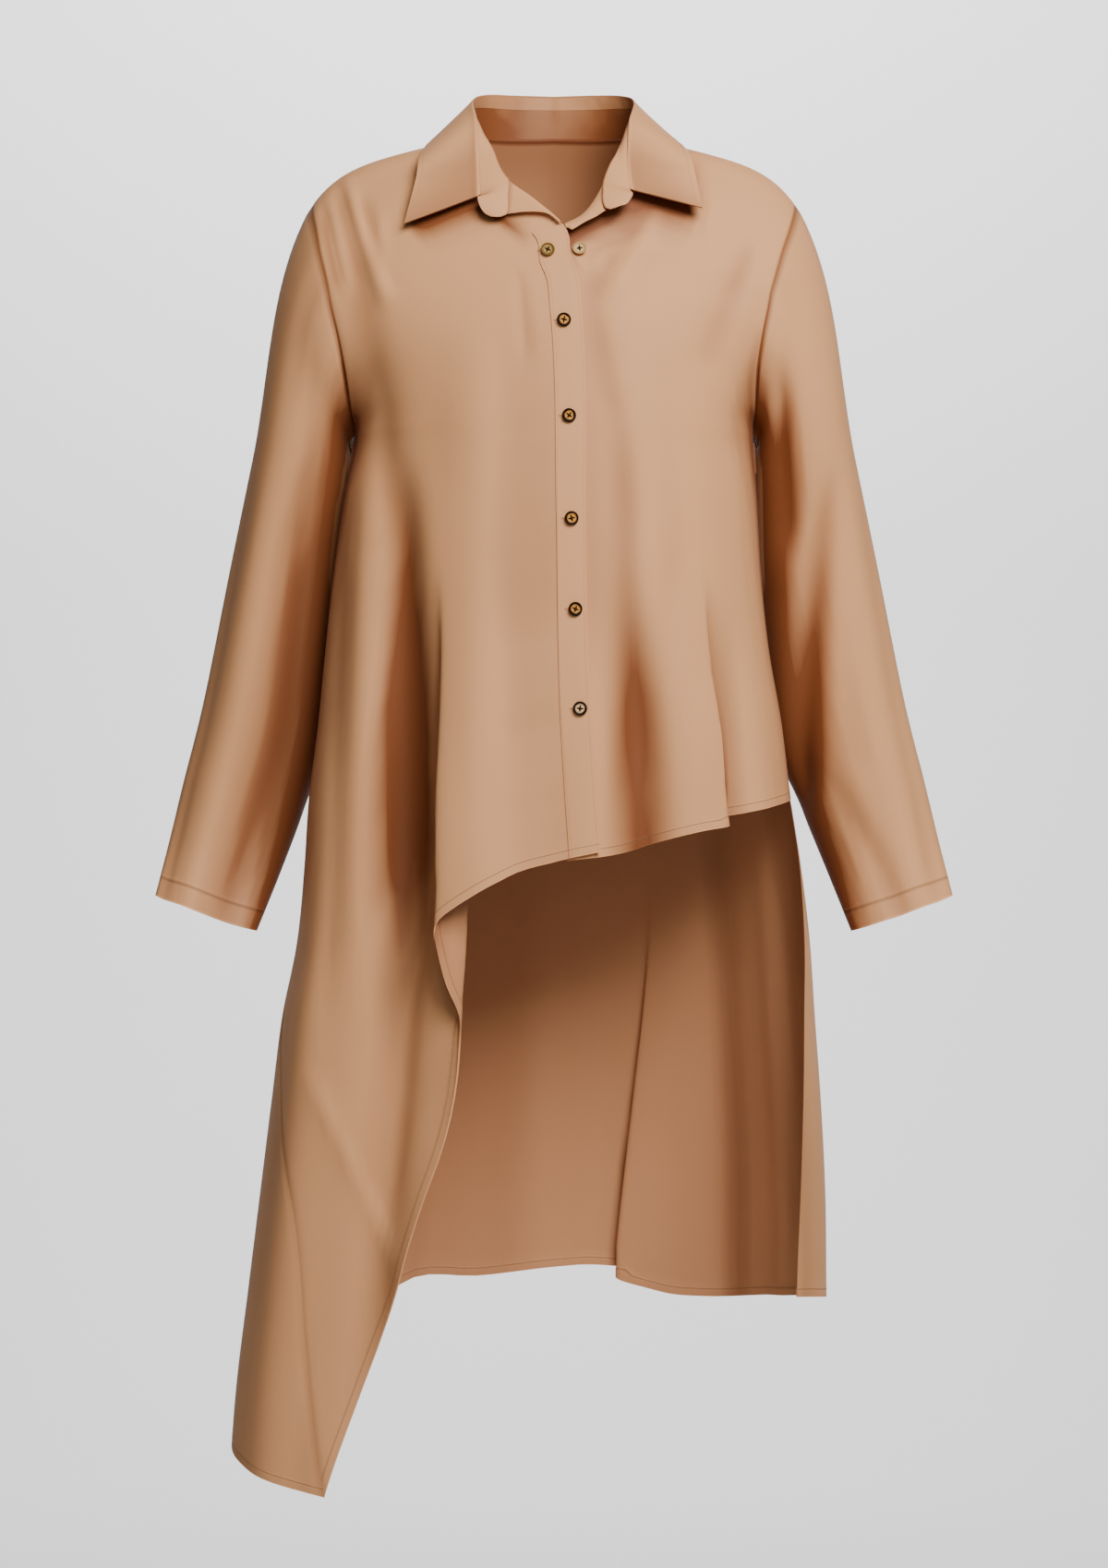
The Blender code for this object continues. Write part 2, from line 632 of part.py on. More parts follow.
def make_panels():
    panels = {
        "front_right": front_grid(-1, COLS_RIGHT, ROWS_RIGHT),
        "front_left": front_grid(1, COLS_LEFT, ROWS_SIDE),
        "back": back_grid(COLS_RIGHT, COLS_LEFT),
        "sleeve_right": sleeve_grid(-1),
        "sleeve_left": sleeve_grid(1),
    }
    normals = {}
    for name, grid in panels.items():
        n = grid_normals(grid, name.startswith("sleeve"))
        mid = grid.reshape(-1, 3).mean(axis=0)
        if name.startswith("sleeve"):
            mid = grid.mean(axis=1, keepdims=True)
            mid = np.broadcast_to(mid, grid.shape)
            same = np.sum(n * (grid - mid)) > 0
        elif name == "back":
            same = np.sum(n[..., 1]) > 0
        else:
            same = np.sum(n[..., 1]) < 0
        normals[name] = n if same else -n
    return panels, weld_normals(panels, normals)


def neck_seam(side, station):
    """Neck seam by collar station: 0 at the centre back, 3 at the shoulder seam, 6 at the stand's end."""
    station = np.asarray(station, dtype=float)
    aft = back_top(side, NECK_SHARE * np.clip(station / 3, 0, 1))
    row = smooth(np.array([3.0, 4.0, 5.0, 6.0]), np.array([0.0, 2.0, 3.0, 4.0]), np.maximum(station, 3.0))
    fore = front_base(side, np.zeros_like(row), np.clip(row, 0, 4))
    return np.where((station <= 3)[..., None], aft, fore)


def unit(v):
    return v / np.maximum(np.linalg.norm(v, axis=-1, keepdims=True), 1e-9)


def collar_lines(side, station):
    """Lifted neck seam, fold, outer edge and the fold's own outward way, by collar station."""
    rows = COLLAR_RIGHT if side < 0 else COLLAR_LEFT
    keys = np.arange(len(rows), dtype=float)
    fx, fy, fz, ex, ey, ez, stand = (smooth(keys, column(rows, k), station) for k in range(7))
    fold = np.stack([side * fx, fy, fz], -1)
    edge = np.stack([side * ex, ey, ez], -1)
    seam = neck_seam(side, station)
    crest = unit(unit(fold - seam) + unit(fold - edge))
    front = ease((station - 3.0) / 1.5)
    lift = crest * (1 - front)[..., None] + np.array([0.0, -0.8, 0.6]) * front[..., None]
    seam = seam + lift * (0.75 + 2.6 * front)[..., None]
    return seam, fold, edge, crest, stand


def stand_grid():
    """Collar stand with its two turned-out ends: columns along the neck, rows up from the seam."""
    halves = []
    for side in (-1, 1):
        station = np.linspace(0, 6, COLLAR_STEPS + 1)
        seam, fold, _, crest, stand = collar_lines(side, station)
        top = seam + (fold - seam) * stand[:, None]
        tab = TAB_RIGHT if side < 0 else TAB_LEFT
        keys = np.arange(len(tab) + 2, dtype=float)
        ends = []
        for k in range(3):
            sign = side if k == 0 else 1
            low = np.concatenate([[seam[-2, k], seam[-1, k]], sign * column(tab, k)])
            high = np.concatenate([[top[-2, k], top[-1, k]], sign * column(tab, k + 3)])
            more = np.linspace(1, len(tab) + 1, 2 * len(tab) + 1)[1:]
            ends.append((smooth(keys, low, more), smooth(keys, high, more)))
        seam = np.concatenate([seam, np.stack([e[0] for e in ends], -1)])
        top = np.concatenate([top, np.stack([e[1] for e in ends], -1)])
        bulge = np.concatenate([crest, np.repeat(crest[-1:], len(seam) - len(crest), axis=0)])
        rows = []
        for t in np.linspace(0, 1, 4):
            rows.append(seam + (top - seam) * t + bulge * (1.2 * np.sin(np.pi * t)))
        halves.append(np.array(rows))
    right, left = halves
    return np.concatenate([right[:, ::-1], left[:, 1:]], axis=1)


def leaf_grid():
    """Collar leaf: up from the stand, over the fold and down to its outer edge."""
    halves = []
    for side in (-1, 1):
        station = np.linspace(0, 6, COLLAR_STEPS + 1)
        seam, fold, edge, crest, stand = collar_lines(side, station)
        rise = unit(seam - fold)
        fall = unit(edge - fold)
        start = seam + (fold - seam) * stand[:, None] - rise * 0.5
        near = fold + rise * 3.5
        far = fold + fall * 4.5
        peak = fold + crest * 1.5
        near = np.where((np.sum((near - start) * rise, -1) > 0)[:, None], start - rise * 0.8, near)
        rows = [start, near]
        for t in (0.25, 0.5, 0.75):
            rows.append((1 - t) ** 2 * near + 2 * t * (1 - t) * peak + t * t * far)
        for t in np.linspace(0, 1, 5):
            rows.append(far + (edge - far) * t + crest * (1.5 * np.sin(np.pi * t)))
        halves.append(np.array(rows))
    right, left = halves
    return np.concatenate([right[:, ::-1], left[:, 1:]], axis=1)


def facing_grid(side):
    """Front end of the neckline, turned outward: rows from its folded edge to its lower edge."""
    low = FACING_RIGHT if side < 0 else FACING_LEFT
    keys = np.linspace(0, 1, len(low))
    at = np.linspace(0, 1, 9)
    edge = np.stack([smooth(keys, column(low, k), at) for k in range(3)], -1)
    row = 4.1 + 0.84 * at if side < 0 else 4.1 + 0.56 * at
    start, _ = inner_edge(side, row, smooth(FRONTS[side][:, 0], FRONTS[side][:, 3], row))
    fold = front_base(side, start, row) + np.array([0.0, -2.2, 0.6])
    rows = []
    for t in np.linspace(0, 1, 4):
        rows.append(fold + (edge - fold) * t + np.array([0.0, -1.4, 0.3]) * np.sin(np.pi * t))
    return np.array(rows)


def towards(grid, way):
    """Normals of a grid, on the side that a direction points to."""
    n = grid_normals(grid)
    return n if np.sum(n * way) > 0 else -n


def collar_normals(grid):
    """Normals on the convex side of the collar's roll."""
    n = grid_normals(grid)
    mid = grid.shape[1] // 2
    return n if n[0, mid, 1] < 0 else -n


def surface_at(grid, x, z):
    """Point of a front's grid nearest to a place seen from the front, and its normal."""
    n = grid_normals(grid)
    n = n if np.sum(n[..., 1]) < 0 else -n
    off = (grid[..., 0] - x) ** 2 + (grid[..., 2] - z) ** 2
    off = off.ravel()
    near = np.argsort(off)[:4]
    share = 1 / (off[near] + 1.0)
    share = share / share.sum()
    normal = unit((n.reshape(-1, 3)[near] * share[:, None]).sum(0))
    base = (grid.reshape(-1, 3)[near] * share[:, None]).sum(0)
    y = base[1] - (normal[0] * (x - base[0]) + normal[2] * (z - base[2])) / normal[1]
    return np.array([x, y, z]), normal


def add_button(name, place, normal, mat, folder):
    """Turned button: a rim round a sunk face, on the cloth at a place."""
    profile = (
        (0.0, 0.0), (BUTTON_RADIUS - 0.6, 0.0), (BUTTON_RADIUS, 0.7), (BUTTON_RADIUS - 0.3, BUTTON_THICK),
        (BUTTON_RADIUS - BUTTON_RIM, BUTTON_THICK),
        (BUTTON_RADIUS - BUTTON_RIM - 0.6, BUTTON_THICK - 0.6), (0.0, BUTTON_THICK - 0.6),
    )
    mesh = bpy.data.meshes.new(name)
    verts = [(r * MM, 0.0, h * MM) for r, h in profile]
    mesh.from_pydata(verts, [(k, k + 1) for k in range(len(verts) - 1)], [])
    mesh.materials.append(mat)
    item = bpy.data.objects.new(name, mesh)
    folder.objects.link(item)
    turn = item.modifiers.new("turn", "SCREW")
    turn.axis = "Z"
    turn.steps = BUTTON_SIDES
    turn.render_steps = BUTTON_SIDES
    turn.use_merge_vertices = True
    turn.merge_threshold = 0.00001
    turn.use_normal_calculate = True
    item.location = [float(c) * MM for c in place]
    item.rotation_euler = Vector([float(c) for c in normal]).to_track_quat("Z", "Y").to_euler()
    return item


def main():
    for item in list(bpy.data.objects):
        bpy.data.objects.remove(item, do_unlink=True)
    folder = bpy.data.collections.new("asymmetric_shirt")
    bpy.context.scene.collection.children.link(folder)
    cloth = material("shirt_cloth", CLOTH_COLOUR, 0.6)
    panels, normals = make_panels()
    for name, grid in panels.items():
        closed = name.startswith("sleeve")
        outer = draw_back(grid, SEAM_PULL, closed)
        if closed:
            outer[:2, :, 0] += np.sign(grid[..., 0].mean()) * HEAD_ASIDE
        verts, faces = shell(outer, outer - normals[name] * WALL, closed)
        add_solid(name, verts, faces, cloth, folder)

    top = ROWS_UPPER.index(5)
    for name, panel in (("placket", "front_right"), ("button_stand", "front_left")):
        part = draw_back(panels[panel], SEAM_PULL)[top:, : COLS_TRIM + 1]
        normal = normals[panel][top:, : COLS_TRIM + 1]
        part = draw_back(part, SEAM_PULL)
        low = part + normal * LAY_GAP
        verts, faces = shell(low + normal * TRIM_WALL, low)
        add_solid(name, verts, faces, cloth, folder)

    for name, grid in (("collar_stand", stand_grid()), ("collar_leaf", leaf_grid())):
        verts, faces = shell(grid, grid - collar_normals(grid) * COLLAR_WALL)
        add_solid(name, verts, faces, cloth, folder)
    for name, side in (("neck_facing_right", -1), ("neck_facing_left", 1)):
        grid = facing_grid(side)
        verts, faces = shell(grid, grid - towards(grid, np.array([0.0, -1.0, 0.0])) * TRIM_WALL)
        add_solid(name, verts, faces, cloth, folder)

    horn = material("button_horn", BUTTON_COLOUR, 0.25)
    for count, (x, z, layer) in enumerate(BUTTONS, start=1):
        panel = panels["front_right"] if layer else panels["front_left"]
        place, normal = surface_at(panel, x, z)
        place = place + normal * (LAY_GAP + TRIM_WALL + 0.8)
        add_button(f"button_{count}", place, normal, horn, folder)


main()
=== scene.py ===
"""Asymmetric shirt: dresses the packed frame with finished cloth, stitching and buttons.

The tables are in millimetres and degrees and match the frame's own; the scene is in metres.
Front is -Y, up is +Z, the wearer's right is -X, and the origin is at the base of the neck."""

import math

import bpy
import numpy as np
from mathutils import Matrix, Vector
from mathutils.bvhtree import BVHTree
from mathutils.kdtree import KDTree


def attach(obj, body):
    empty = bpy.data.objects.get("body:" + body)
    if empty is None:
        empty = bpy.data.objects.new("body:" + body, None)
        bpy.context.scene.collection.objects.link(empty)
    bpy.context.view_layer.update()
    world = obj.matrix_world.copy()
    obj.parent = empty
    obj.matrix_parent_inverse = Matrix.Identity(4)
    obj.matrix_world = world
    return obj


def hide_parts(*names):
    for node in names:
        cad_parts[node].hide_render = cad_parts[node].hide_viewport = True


bl_info = {
    "name": "Asymmetric Shirt",
    "version": (1, 0, 0),
    "blender": (4, 5, 0),
    "location": "View3D > Sidebar > Shirt",
    "description": "Builds the cloth, stitching and buttons of a shirt with a slanting hem",
    "category": "Object",
}

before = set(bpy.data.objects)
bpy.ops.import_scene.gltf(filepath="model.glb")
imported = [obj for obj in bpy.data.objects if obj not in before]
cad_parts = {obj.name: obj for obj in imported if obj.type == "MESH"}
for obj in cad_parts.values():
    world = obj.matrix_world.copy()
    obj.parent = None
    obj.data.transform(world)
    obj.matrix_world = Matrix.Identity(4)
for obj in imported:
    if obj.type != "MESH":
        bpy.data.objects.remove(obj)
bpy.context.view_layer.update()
MM = 0.001

# ---------------------------------------------------------------- the shirt's tables (mm, degrees)
PLACKET_WIDTH = 25.0
OVERLAP = 27.0         # of the left front under the right
UNDER_STEP = 3.9       # the left front lies this far behind the right
UNDER_FADE = 50.0      # and comes forward over this width
ARMPIT_Z = -243.0
ROW_UNIT = 40.0        # height of the body that counts as one row of the tables
SLIT_Z = -548.0
NECK_SHARE = 0.34      # of each half of the back's top edge, its neckline
LAY_GAP = 0.25         # between a piece and what lies on it
HEM_BAND = 7.5
CUFF_BAND = 20.0

# Fronts above the armpit: row, inner edge x y z, armhole x y z, arc, shoulder hump
FRONT_RIGHT_UPPER = (
    (0.0, 70, 8, 11, 205, 10, -47, 20, 15),
    (1.0, 67, -7, 11, 204, -8, -57, 24, 13),
    (2.0, 60, -21, 7, 200, -26, -73, 30, 9),
    (3.0, 51, -43, -9, 196, -41, -93, 36, 5),
    (4.0, 37, -66, -38, 190, -52, -117, 43, 2),
    (4.5, 19, -79, -55, 188, -56, -128, 47, 1),
    (5.0, 0, -90, -79, 186, -58, -140, 51, 0),
    (6.0, 0, -100, -112, 180, -58, -166, 57, 0),
    (7.0, 0, -110, -150, 175, -48, -194, 65, 0),
    (8.0, 0, -117, -195, 171, -28, -222, 77, 0),
    (9.0, 0, -123, -243, 168, -4, -243, 90, 0),
)
FRONT_LEFT_UPPER = (
    (0.0, 70, 8, 11, 205, 10, -47, 20, 15),
    (1.0, 66, -7, 9, 203, -8, -57, 24, 13),
    (2.0, 59, -21, 4, 198, -26, -73, 30, 9),
    (3.0, 52, -43, -13, 191, -41, -93, 36, 5),
    (4.0, 41, -66, -39, 184, -52, -117, 43, 2),
    (4.5, 31, -79.5, -73, 181, -56, -128, 47, 1),
    (5.0, 4, -88, -90, 179, -58, -140, 51, 0),
    (6.0, 0, -98, -110, 174, -58, -166, 57, 0),
    (7.0, 0, -109.5, -150, 170, -48, -194, 65, 0),
    (8.0, 0, -117, -195, 169, -28, -222, 77, 0),
    (9.0, 0, -123, -243, 168, -4, -243, 90, 0),
)
# Back above the armpit: row, centre y z, armhole x (right, left), y, z, arc
BACK_UPPER = (
    (0.0, 60, 15, 205, 205, 10, -46, 30),
    (1.0, 71, -14, 205, 204, 28, -58, 34),
    (2.0, 79, -43, 203, 201, 44, -76, 39),
    (3.0, 85, -72, 199, 196, 56, -97, 44),
    (4.0, 89, -102, 195, 190, 63, -120, 50),
    (4.5, 91, -118, 193, 187, 65, -132, 53),
    (5.0, 92, -134, 190, 184, 66, -145, 56),
    (6.0, 94, -164, 184, 178, 61, -171, 63),
    (7.0, 95, -192, 178, 173, 48, -197, 71),
    (8.0, 95, -218, 172, 169, 26, -223, 81),
    (9.0, 93, -243, 168, 168, -4, -243, 90),
)
# Body below the armpit: z, half-width right and left, y at the side, front and back
BODY = (
    (-243, 168, 168, -4, -123, 93),
    (-300, 178, 171, -8, -127, 90),
    (-360, 186, 174, -12, -130, 88),
    (-420, 192, 180, -14, -133, 88),
    (-485, 198, 191, -16, -137, 91),
    (-550, 206, 199, -16, -141, 96),
    (-610, 210, 208, -16, -145, 101),
    (-670, 216, 215, -16, -148, 106),
    (-730, 228, 219, -16, -150, 111),
    (-800, 237, 224, -16, -150, 116),
    (-880, 247, 228, -15, -148, 121),
    (-960, 257, 229, -14, -144, 125),
    (-1040, 267, 230, -12, -138, 128),
    (-1130, 274, 230, -10, -132, 130),
)
# Edge of the right front past the centre: z, x
RIGHT_EDGE = ((-70, 6), (-83, 8), (-97, 10), (-121, 19), (-148, 22), (-312, 27), (-470, 30), (-600, 38))
# Side seam at the right and free edge at the left slit: z, angle from the centre front
RIGHT_SEAM = ((-243, 90), (-690, 90), (-780, 76), (-880, 60), (-1000, 52), (-1130, 45))
LEFT_SEAM = ((-243, 90), (-560, 90), (-640, 80), (-760, 70), (-960, 60), (-1000, 60))
# Hems: share of the way from the inner edge to the side seam, z
HEM_RIGHT = (
    (0.0, -592), (0.10, -600), (0.20, -613), (0.275, -637), (0.307, -661), (0.335, -700), (0.375, -740),
    (0.42, -803), (0.51, -880), (0.59, -932), (0.79, -1033), (1.0, -1125),
)
HEM_LEFT = ((0.0, -599), (0.18, -592), (0.32, -580), (0.45, -570), (0.5, -564), (0.56, -561), (1.0, -548))
# Hem of the back: angle round the body, z
HEM_BACK = (
    (45, -1125), (60, -1112), (90, -1090), (120, -1050), (140, -1000), (152, -968), (165, -966),
    (180, -958), (195, -962), (202, -976), (215, -982), (235, -976), (270, -968), (300, -960),
)
# Pleat-like folds: angle at top and foot, z where it starts, is full, starts to fade, ends,
# overlap, half-width, depth (mm), reach. Where the depth is above nought, the layer at the greater
# angle lies outside. Angles are above nought at the wearer's left.
PLEATS = (
    (-31.0, -23.0, -340, -620, -760, -930, 5.0, 2.6, 28, 17),
    (45.0, 42.5, -340, -520, -700, -760, 3.6, 2.2, -13, 13),
    (155.0, 164.0, -560, -940, -1200, -1300, 4.0, 2.4, 12, 15),
)
# Soft folds: angle at top and foot, z where it starts and is full, height (mm), half-width
WAVES = (
    (23.0, 22.0, -330, -520, -17, 7.0),
    (-41.0, -36.5, -320, -580, -24, 8.0),
    (11.0, 10.0, -380, -560, 4, 6.0),
    (-19.0, -17.0, -300, -600, 7, 7.0),
    (-50.0, -48.0, -330, -700, -6, 7.0),
    (-66.0, -62.0, -330, -760, 5, 8.0),
    (60.0, 58.0, -380, -560, 4, 7.0),
    (138.0, 138.0, -420, -900, 12, 7.0),
    (122.0, 118.0, -420, -900, -9, 6.0),
    (182.0, 184.0, -420, -900, -13, 8.0),
    (204.0, 208.0, -420, -900, 11, 8.0),
    (225.0, 230.0, -420, -900, -9, 8.0),
)
# Lesser folds on the fronts, seen from the front: x z of each end, height (mm), half-width at each end
CREASES = (
    (84, -68, 44, -140, 2.8, 8, 9),
    (66, -76, 30, -138, -2.8, 9, 9),
    (40, -88, 27, -108, -1.4, 6, 6),
    (72, -340, 72, -590, 3.6, 14, 16),
    (-182, -34, -158, -122, -2.6, 6, 7),
    (-174, -32, -142, -132, 2.4, 6, 8),
    (-160, -48, -138, -124, -2.2, 6, 7),
    (-146, -66, -140, -140, 2.2, 5, 8),
    (-195, -52, -178, -128, -2.4, 4, 5),
    (-162, -110, -132, -340, -4.0, 12, 20),
    (-150, -210, -152, -330, 2.0, 8, 12),
    (-124, -300, -124, -640, -11, 16, 17),
    (-155, -300, -163, -700, 4.0, 10, 11),
    (-177, -320, -187, -720, -2.6, 8, 9),
    (-62, -180, -64, -520, 3.6, 22, 28),
    (120, -190, 128, -430, 2.6, 22, 26),
    (56, -240, 72, -520, -3.4, 12, 16),
    (34, -150, 52, -240, -1.6, 9, 11),
    (-28, -118, -20, -190, -1.2, 3, 5),
    (160, -90, 120, -200, -2.2, 8, 16),
    (188, -120, 150, -260, -2.4, 6, 14),
)
# Sharp pressed lines, seen from the front: x z of each end, height (mm), width
PRESSED = ((-203, -775, -128, -930, 4.0, 9),)
# Folds of the sleeves: side, angle round the arm at top and foot, level where it starts and ends,
# height (mm), half-width in degrees
SLEEVE_FOLDS = (
    (-1, 26, 34, 0.2, 5.5, -2.0, 12),
    (-1, 104, 116, -0.4, 5.5, -7.0, 26),
    (-1, 58, 68, -0.2, 5.5, 3.4, 16),
    (-1, 203, 203, -0.75, 0.6, 13, 16),
    (1, 203, 203, -0.75, 0.6, 12, 16),
    (1, 66, 160, 0.2, 3.0, -8.0, 18),
    (1, 122, 116, -0.8, 0.8, -5.0, 18),
    (1, 44, 70, 0.2, 5.0, 3.0, 16),
    (1, 34, 50, 0.2, 5.2, -1.6, 14),
    (1, 112, 88, 2.6, 5.4, -2.4, 14),
)
# Sleeve from the first full ring to the cuff: outer x z, inner x (right, left) z, middle y, half-depth
SLEEVE = (
    (256, -262, 171, 168, -272, 22, 55),
    (276, -352, 181, 171, -375, 38, 54),
    (299, -465, 193, 186, -492, 42, 49),
    (316, -535, 213, 211, -558, 37, 42),
    (327, -585, 232, 232, -611, 25, 33),
    (337, -631, 251, 251, -661, 4, 22),
)
# Collar at each side from the centre back: fold and outer edge x y z, share of the stand in the rise
COLLAR_RIGHT = (
    (0, 64, 55, 0, 82, 9, 0.66),
    (34, 58, 55, 44, 77, 8, 0.66),
    (58, 37, 52, 80, 57, 6, 0.68),
    (68, 6, 42, 102, 12, 8, 0.72),
    (65, -29, 20, 112, -32, -11, 0.80),
    (64, -54, -19, 115, -53, -34, 0.86),
    (63, -76, -51, 124, -70, -73, 0.90),
)
COLLAR_LEFT = (
    (0, 64, 55, 0, 82, 9, 0.66),
    (34, 58, 55, 44, 77, 8, 0.66),
    (58, 37, 51, 80, 57, 6, 0.68),
    (67, 6, 41, 101, 12, 8, 0.72),
    (63, -29, 18, 113, -32, -9, 0.80),
    (62, -54, -18, 117, -53, -28, 0.86),
    (65, -76, -46, 123, -70, -60, 0.90),
)
# Turned-out ends of the stand: lower edge x y z, upper edge x y z
TAB_RIGHT = (
    (37, -77, -50, 63, -81, -53),
    (37, -83, -60, 61, -85, -61),
    (38, -87, -67, 57, -87, -67),
    (43, -88, -70, 52, -88, -70),
)
TAB_LEFT = (
    (40, -78, -48, 65, -81, -50),
    (40, -83, -56, 63, -84, -55),
    (42, -86, -62, 60, -86, -59),
    (46, -87, -64, 55, -87, -61),
)
# Lower edges of the neck facings, towards the centre: x y z
FACING_RIGHT = ((-35, -87, -67), (-23, -89, -66), (-8, -91, -67), (1, -93, -72), (7, -94, -79))
FACING_LEFT = ((40, -86, -66), (34, -87, -70), (26, -88, -74), (18, -89, -79), (11, -90, -83))
# Buttons: x, z, whether it sits on the right front (1) or on the button stand (0), turn, tilt
BUTTONS = (
    (-5, -99, 1, 20, 6), (21, -97, 0, 50, -10), (8, -158, 1, 35, 10), (12, -237, 1, 10, 8),
    (14, -321, 1, 60, 9), (17, -395, 1, 25, 12), (21, -476, 1, 40, 5),
)

HORN = {1: "horn_olive", 2: "horn_pale", 7: "horn_ringed"}

# ---------------------------------------------------------------- how finely the cloth is divided
ROWS_UPPER = np.linspace(0, 9, 64)
TOP_ROW = 35           # row 5 of the tables, where the placket and the button stand begin
ROWS_RIGHT = 190       # below the armpit, down the right side seam
ROWS_SIDE = 72         # of the left side, armpit to slit
COLS_TRIM = 6
COLS_RIGHT = 64
COLS_LEFT = 60
COLS_NECK = 14
COLS_FOLD = 44         # of the back's left neckline, over its fold
RINGS_CAP = 24
RINGS_ARM = 100
COLLAR_STEPS = 66
TAB_STEPS = 28
CREASE_FADE = 14.0     # creases die out this near a seam
# Painted shade: rays cast from the cloth darken its colour where other cloth is near; folds, creases and seams
# add more
SHADE_REACH = 170.0  # cloth nearer than this shuts a point in and paints shade on it
SHADE_RAYS = 20
SHADE_RAY_LIFT = 8.0     # rays start this far off the cloth
GOLDEN_TURN = 2.39996  # from one ray to the next
INSIDE_SHADE_SHARE = 0.36      # share of the painted shade from nearby cloth that darkens the inner face
SEAM_SHADE = 0.35      # added at the neck and armhole seams
SIDE_SHADE = 0.06      # added at the side seams
SINK_SHADE = 0.030     # added for each millimetre that a fold sinks
CREASE_SHADE = 0.07    # added for each millimetre that a crease sinks
SEAM_DIP = 0.8         # cloth sinks this far at a seam
BORDER_GAP = 0.08      # borders nearer than this are sewn together

# ---------------------------------------------------------------- the studio (m)
CAMERA_AWAY = 3.5
EYE_Z = -0.537
WALL_Y = 7.0
WALL_BEND = 2.0        # radius between floor and wall
STUDIO_HALF = 9.0      # of its width, and from the middle to the floor's front edge

MADE = {}  # what several operators share, worked out once


# ---------------------------------------------------------------- reading the tables
def column(rows, index):
    """One named column of a table."""
    return np.array([row[index] for row in rows], dtype=float)


def smooth(keys, values, at):
    """Cubic curve through a table's values, straight past its ends."""
    at = np.asarray(at, dtype=float)
    slopes = np.gradient(values, keys)
    i = np.clip(np.searchsorted(keys, at, side="right") - 1, 0, len(keys) - 2)
    span = keys[i + 1] - keys[i]
    t = np.clip((at - keys[i]) / span, 0.0, 1.0)
    t2 = t * t
    t3 = t2 * t
    curve = (2 * t3 - 3 * t2 + 1) * values[i] + (t3 - 2 * t2 + t) * span * slopes[i]
    curve = curve + (3 * t2 - 2 * t3) * values[i + 1] + (t3 - t2) * span * slopes[i + 1]
    past = np.minimum(at - keys[0], 0) * slopes[0] + np.maximum(at - keys[-1], 0) * slopes[-1]
    return curve + past


def by_height(rows, index, z):
    """A column of a table whose rows go by height, at any height."""
    return smooth(-column(rows, 0), column(rows, index), -np.asarray(z, dtype=float))


def ease(t):
    """Nought to one with soft ends."""
    t = np.clip(t, 0.0, 1.0)
    return t * t * (3 - 2 * t)


def unit(v):
    return v / np.maximum(np.linalg.norm(v, axis=-1, keepdims=True), 1e-9)


def row_of(z):
    """Row of the tables below the armpit, by height."""
    return 9.0 + (ARMPIT_Z - np.asarray(z, dtype=float)) / ROW_UNIT


# ---------------------------------------------------------------- the garment's surface
def front_rows(side):
    """Row table of one front, from the shoulder to below the tail."""
    upper = FRONT_RIGHT_UPPER if side < 0 else FRONT_LEFT_UPPER
    rows = [list(row) for row in upper]
    for z, right, left, y_side, y_front, _ in BODY[1:]:
        width = right if side < 0 else left
        rows.append([float(row_of(z)), 0, y_front, z, width, y_side, z, 90, 0])
    return np.array(rows, dtype=float)


def back_rows(side):
    """Row table of one half of the back, from the shoulder to below its hem."""
    rows = []
    for row, y, z, right, left, y_arm, z_arm, arc in BACK_UPPER:
        rows.append([row, y, z, right if side < 0 else left, y_arm, z_arm, arc])
    for z, right, left, y_side, _, y_back in BODY[1:]:
        rows.append([float(row_of(z)), y_back, z, right if side < 0 else left, y_side, z, 90])
    return np.array(rows, dtype=float)


FRONTS = {-1: front_rows(-1), 1: front_rows(1)}
BACKS = {-1: back_rows(-1), 1: back_rows(1)}


def front_base(side, u, row):
    """Point of a front without folds: u is 0 at the centre front and 1 at the armhole or side."""
    table = FRONTS[side]
    xl, yl, zl, xr, yr, zr, arc, hump = (smooth(table[:, 0], table[:, k], row) for k in range(1, 9))
    arc = np.radians(np.clip(arc, 5, 90))
    share = np.sin(u * arc) / np.sin(arc)
    drop = (np.cos(u * arc) - np.cos(arc)) / (1 - np.cos(arc))
    x = xl + (xr - xl) * share
    y = yr + (yl - yr) * drop
    z = zl + (zr - zl) * u + hump * np.clip(u, 0, 1) * (1 - np.clip(u, 0, 1) ** 5) / 0.582
    return np.stack([side * x, y, z], axis=-1)


def back_base(side, u, row):
    """Point of the back without folds: u is 0 at the centre back and 1 at the armhole or side."""
    table = BACKS[side]
    yc, zc, xr, yr, zr, arc = (smooth(table[:, 0], table[:, k], row) for k in range(1, 7))
    arc = np.radians(np.clip(arc, 5, 90))
    x = xr * np.sin(u * arc) / np.sin(arc)
    y = yr + (yc - yr) * (np.cos(u * arc) - np.cos(arc)) / (1 - np.cos(arc))
    z = zc + (zr - zc) * u
    return np.stack([side * x, y, z], axis=-1)


def back_top(side, u):
    """The back's top edge: half the neckline, then the shoulder seam."""
    q = np.clip(u / NECK_SHARE, 0, 1)
    p = np.clip((u - NECK_SHARE) / (1 - NECK_SHARE), 0, 1)
    turn = np.radians(90 * q)
    neck = np.stack([side * 70 * np.sin(turn), 8 + 52 * np.cos(turn), 15 - 4 * q], -1)
    shoulder = front_base(side, p, np.zeros_like(p))
    return np.where((u <= NECK_SHARE)[..., None], neck, shoulder)


def back_shape(side, u, row):
    """Point of the back, its top rows drawn to the neckline and the shoulder seam."""
    plain = back_base(side, u, row)
    top = back_top(side, u)
    flat = back_base(side, u, np.zeros_like(row))
    share = np.clip(1 - row / 3.5, 0, 1) ** 2
    return plain + (top - flat) * share[..., None]


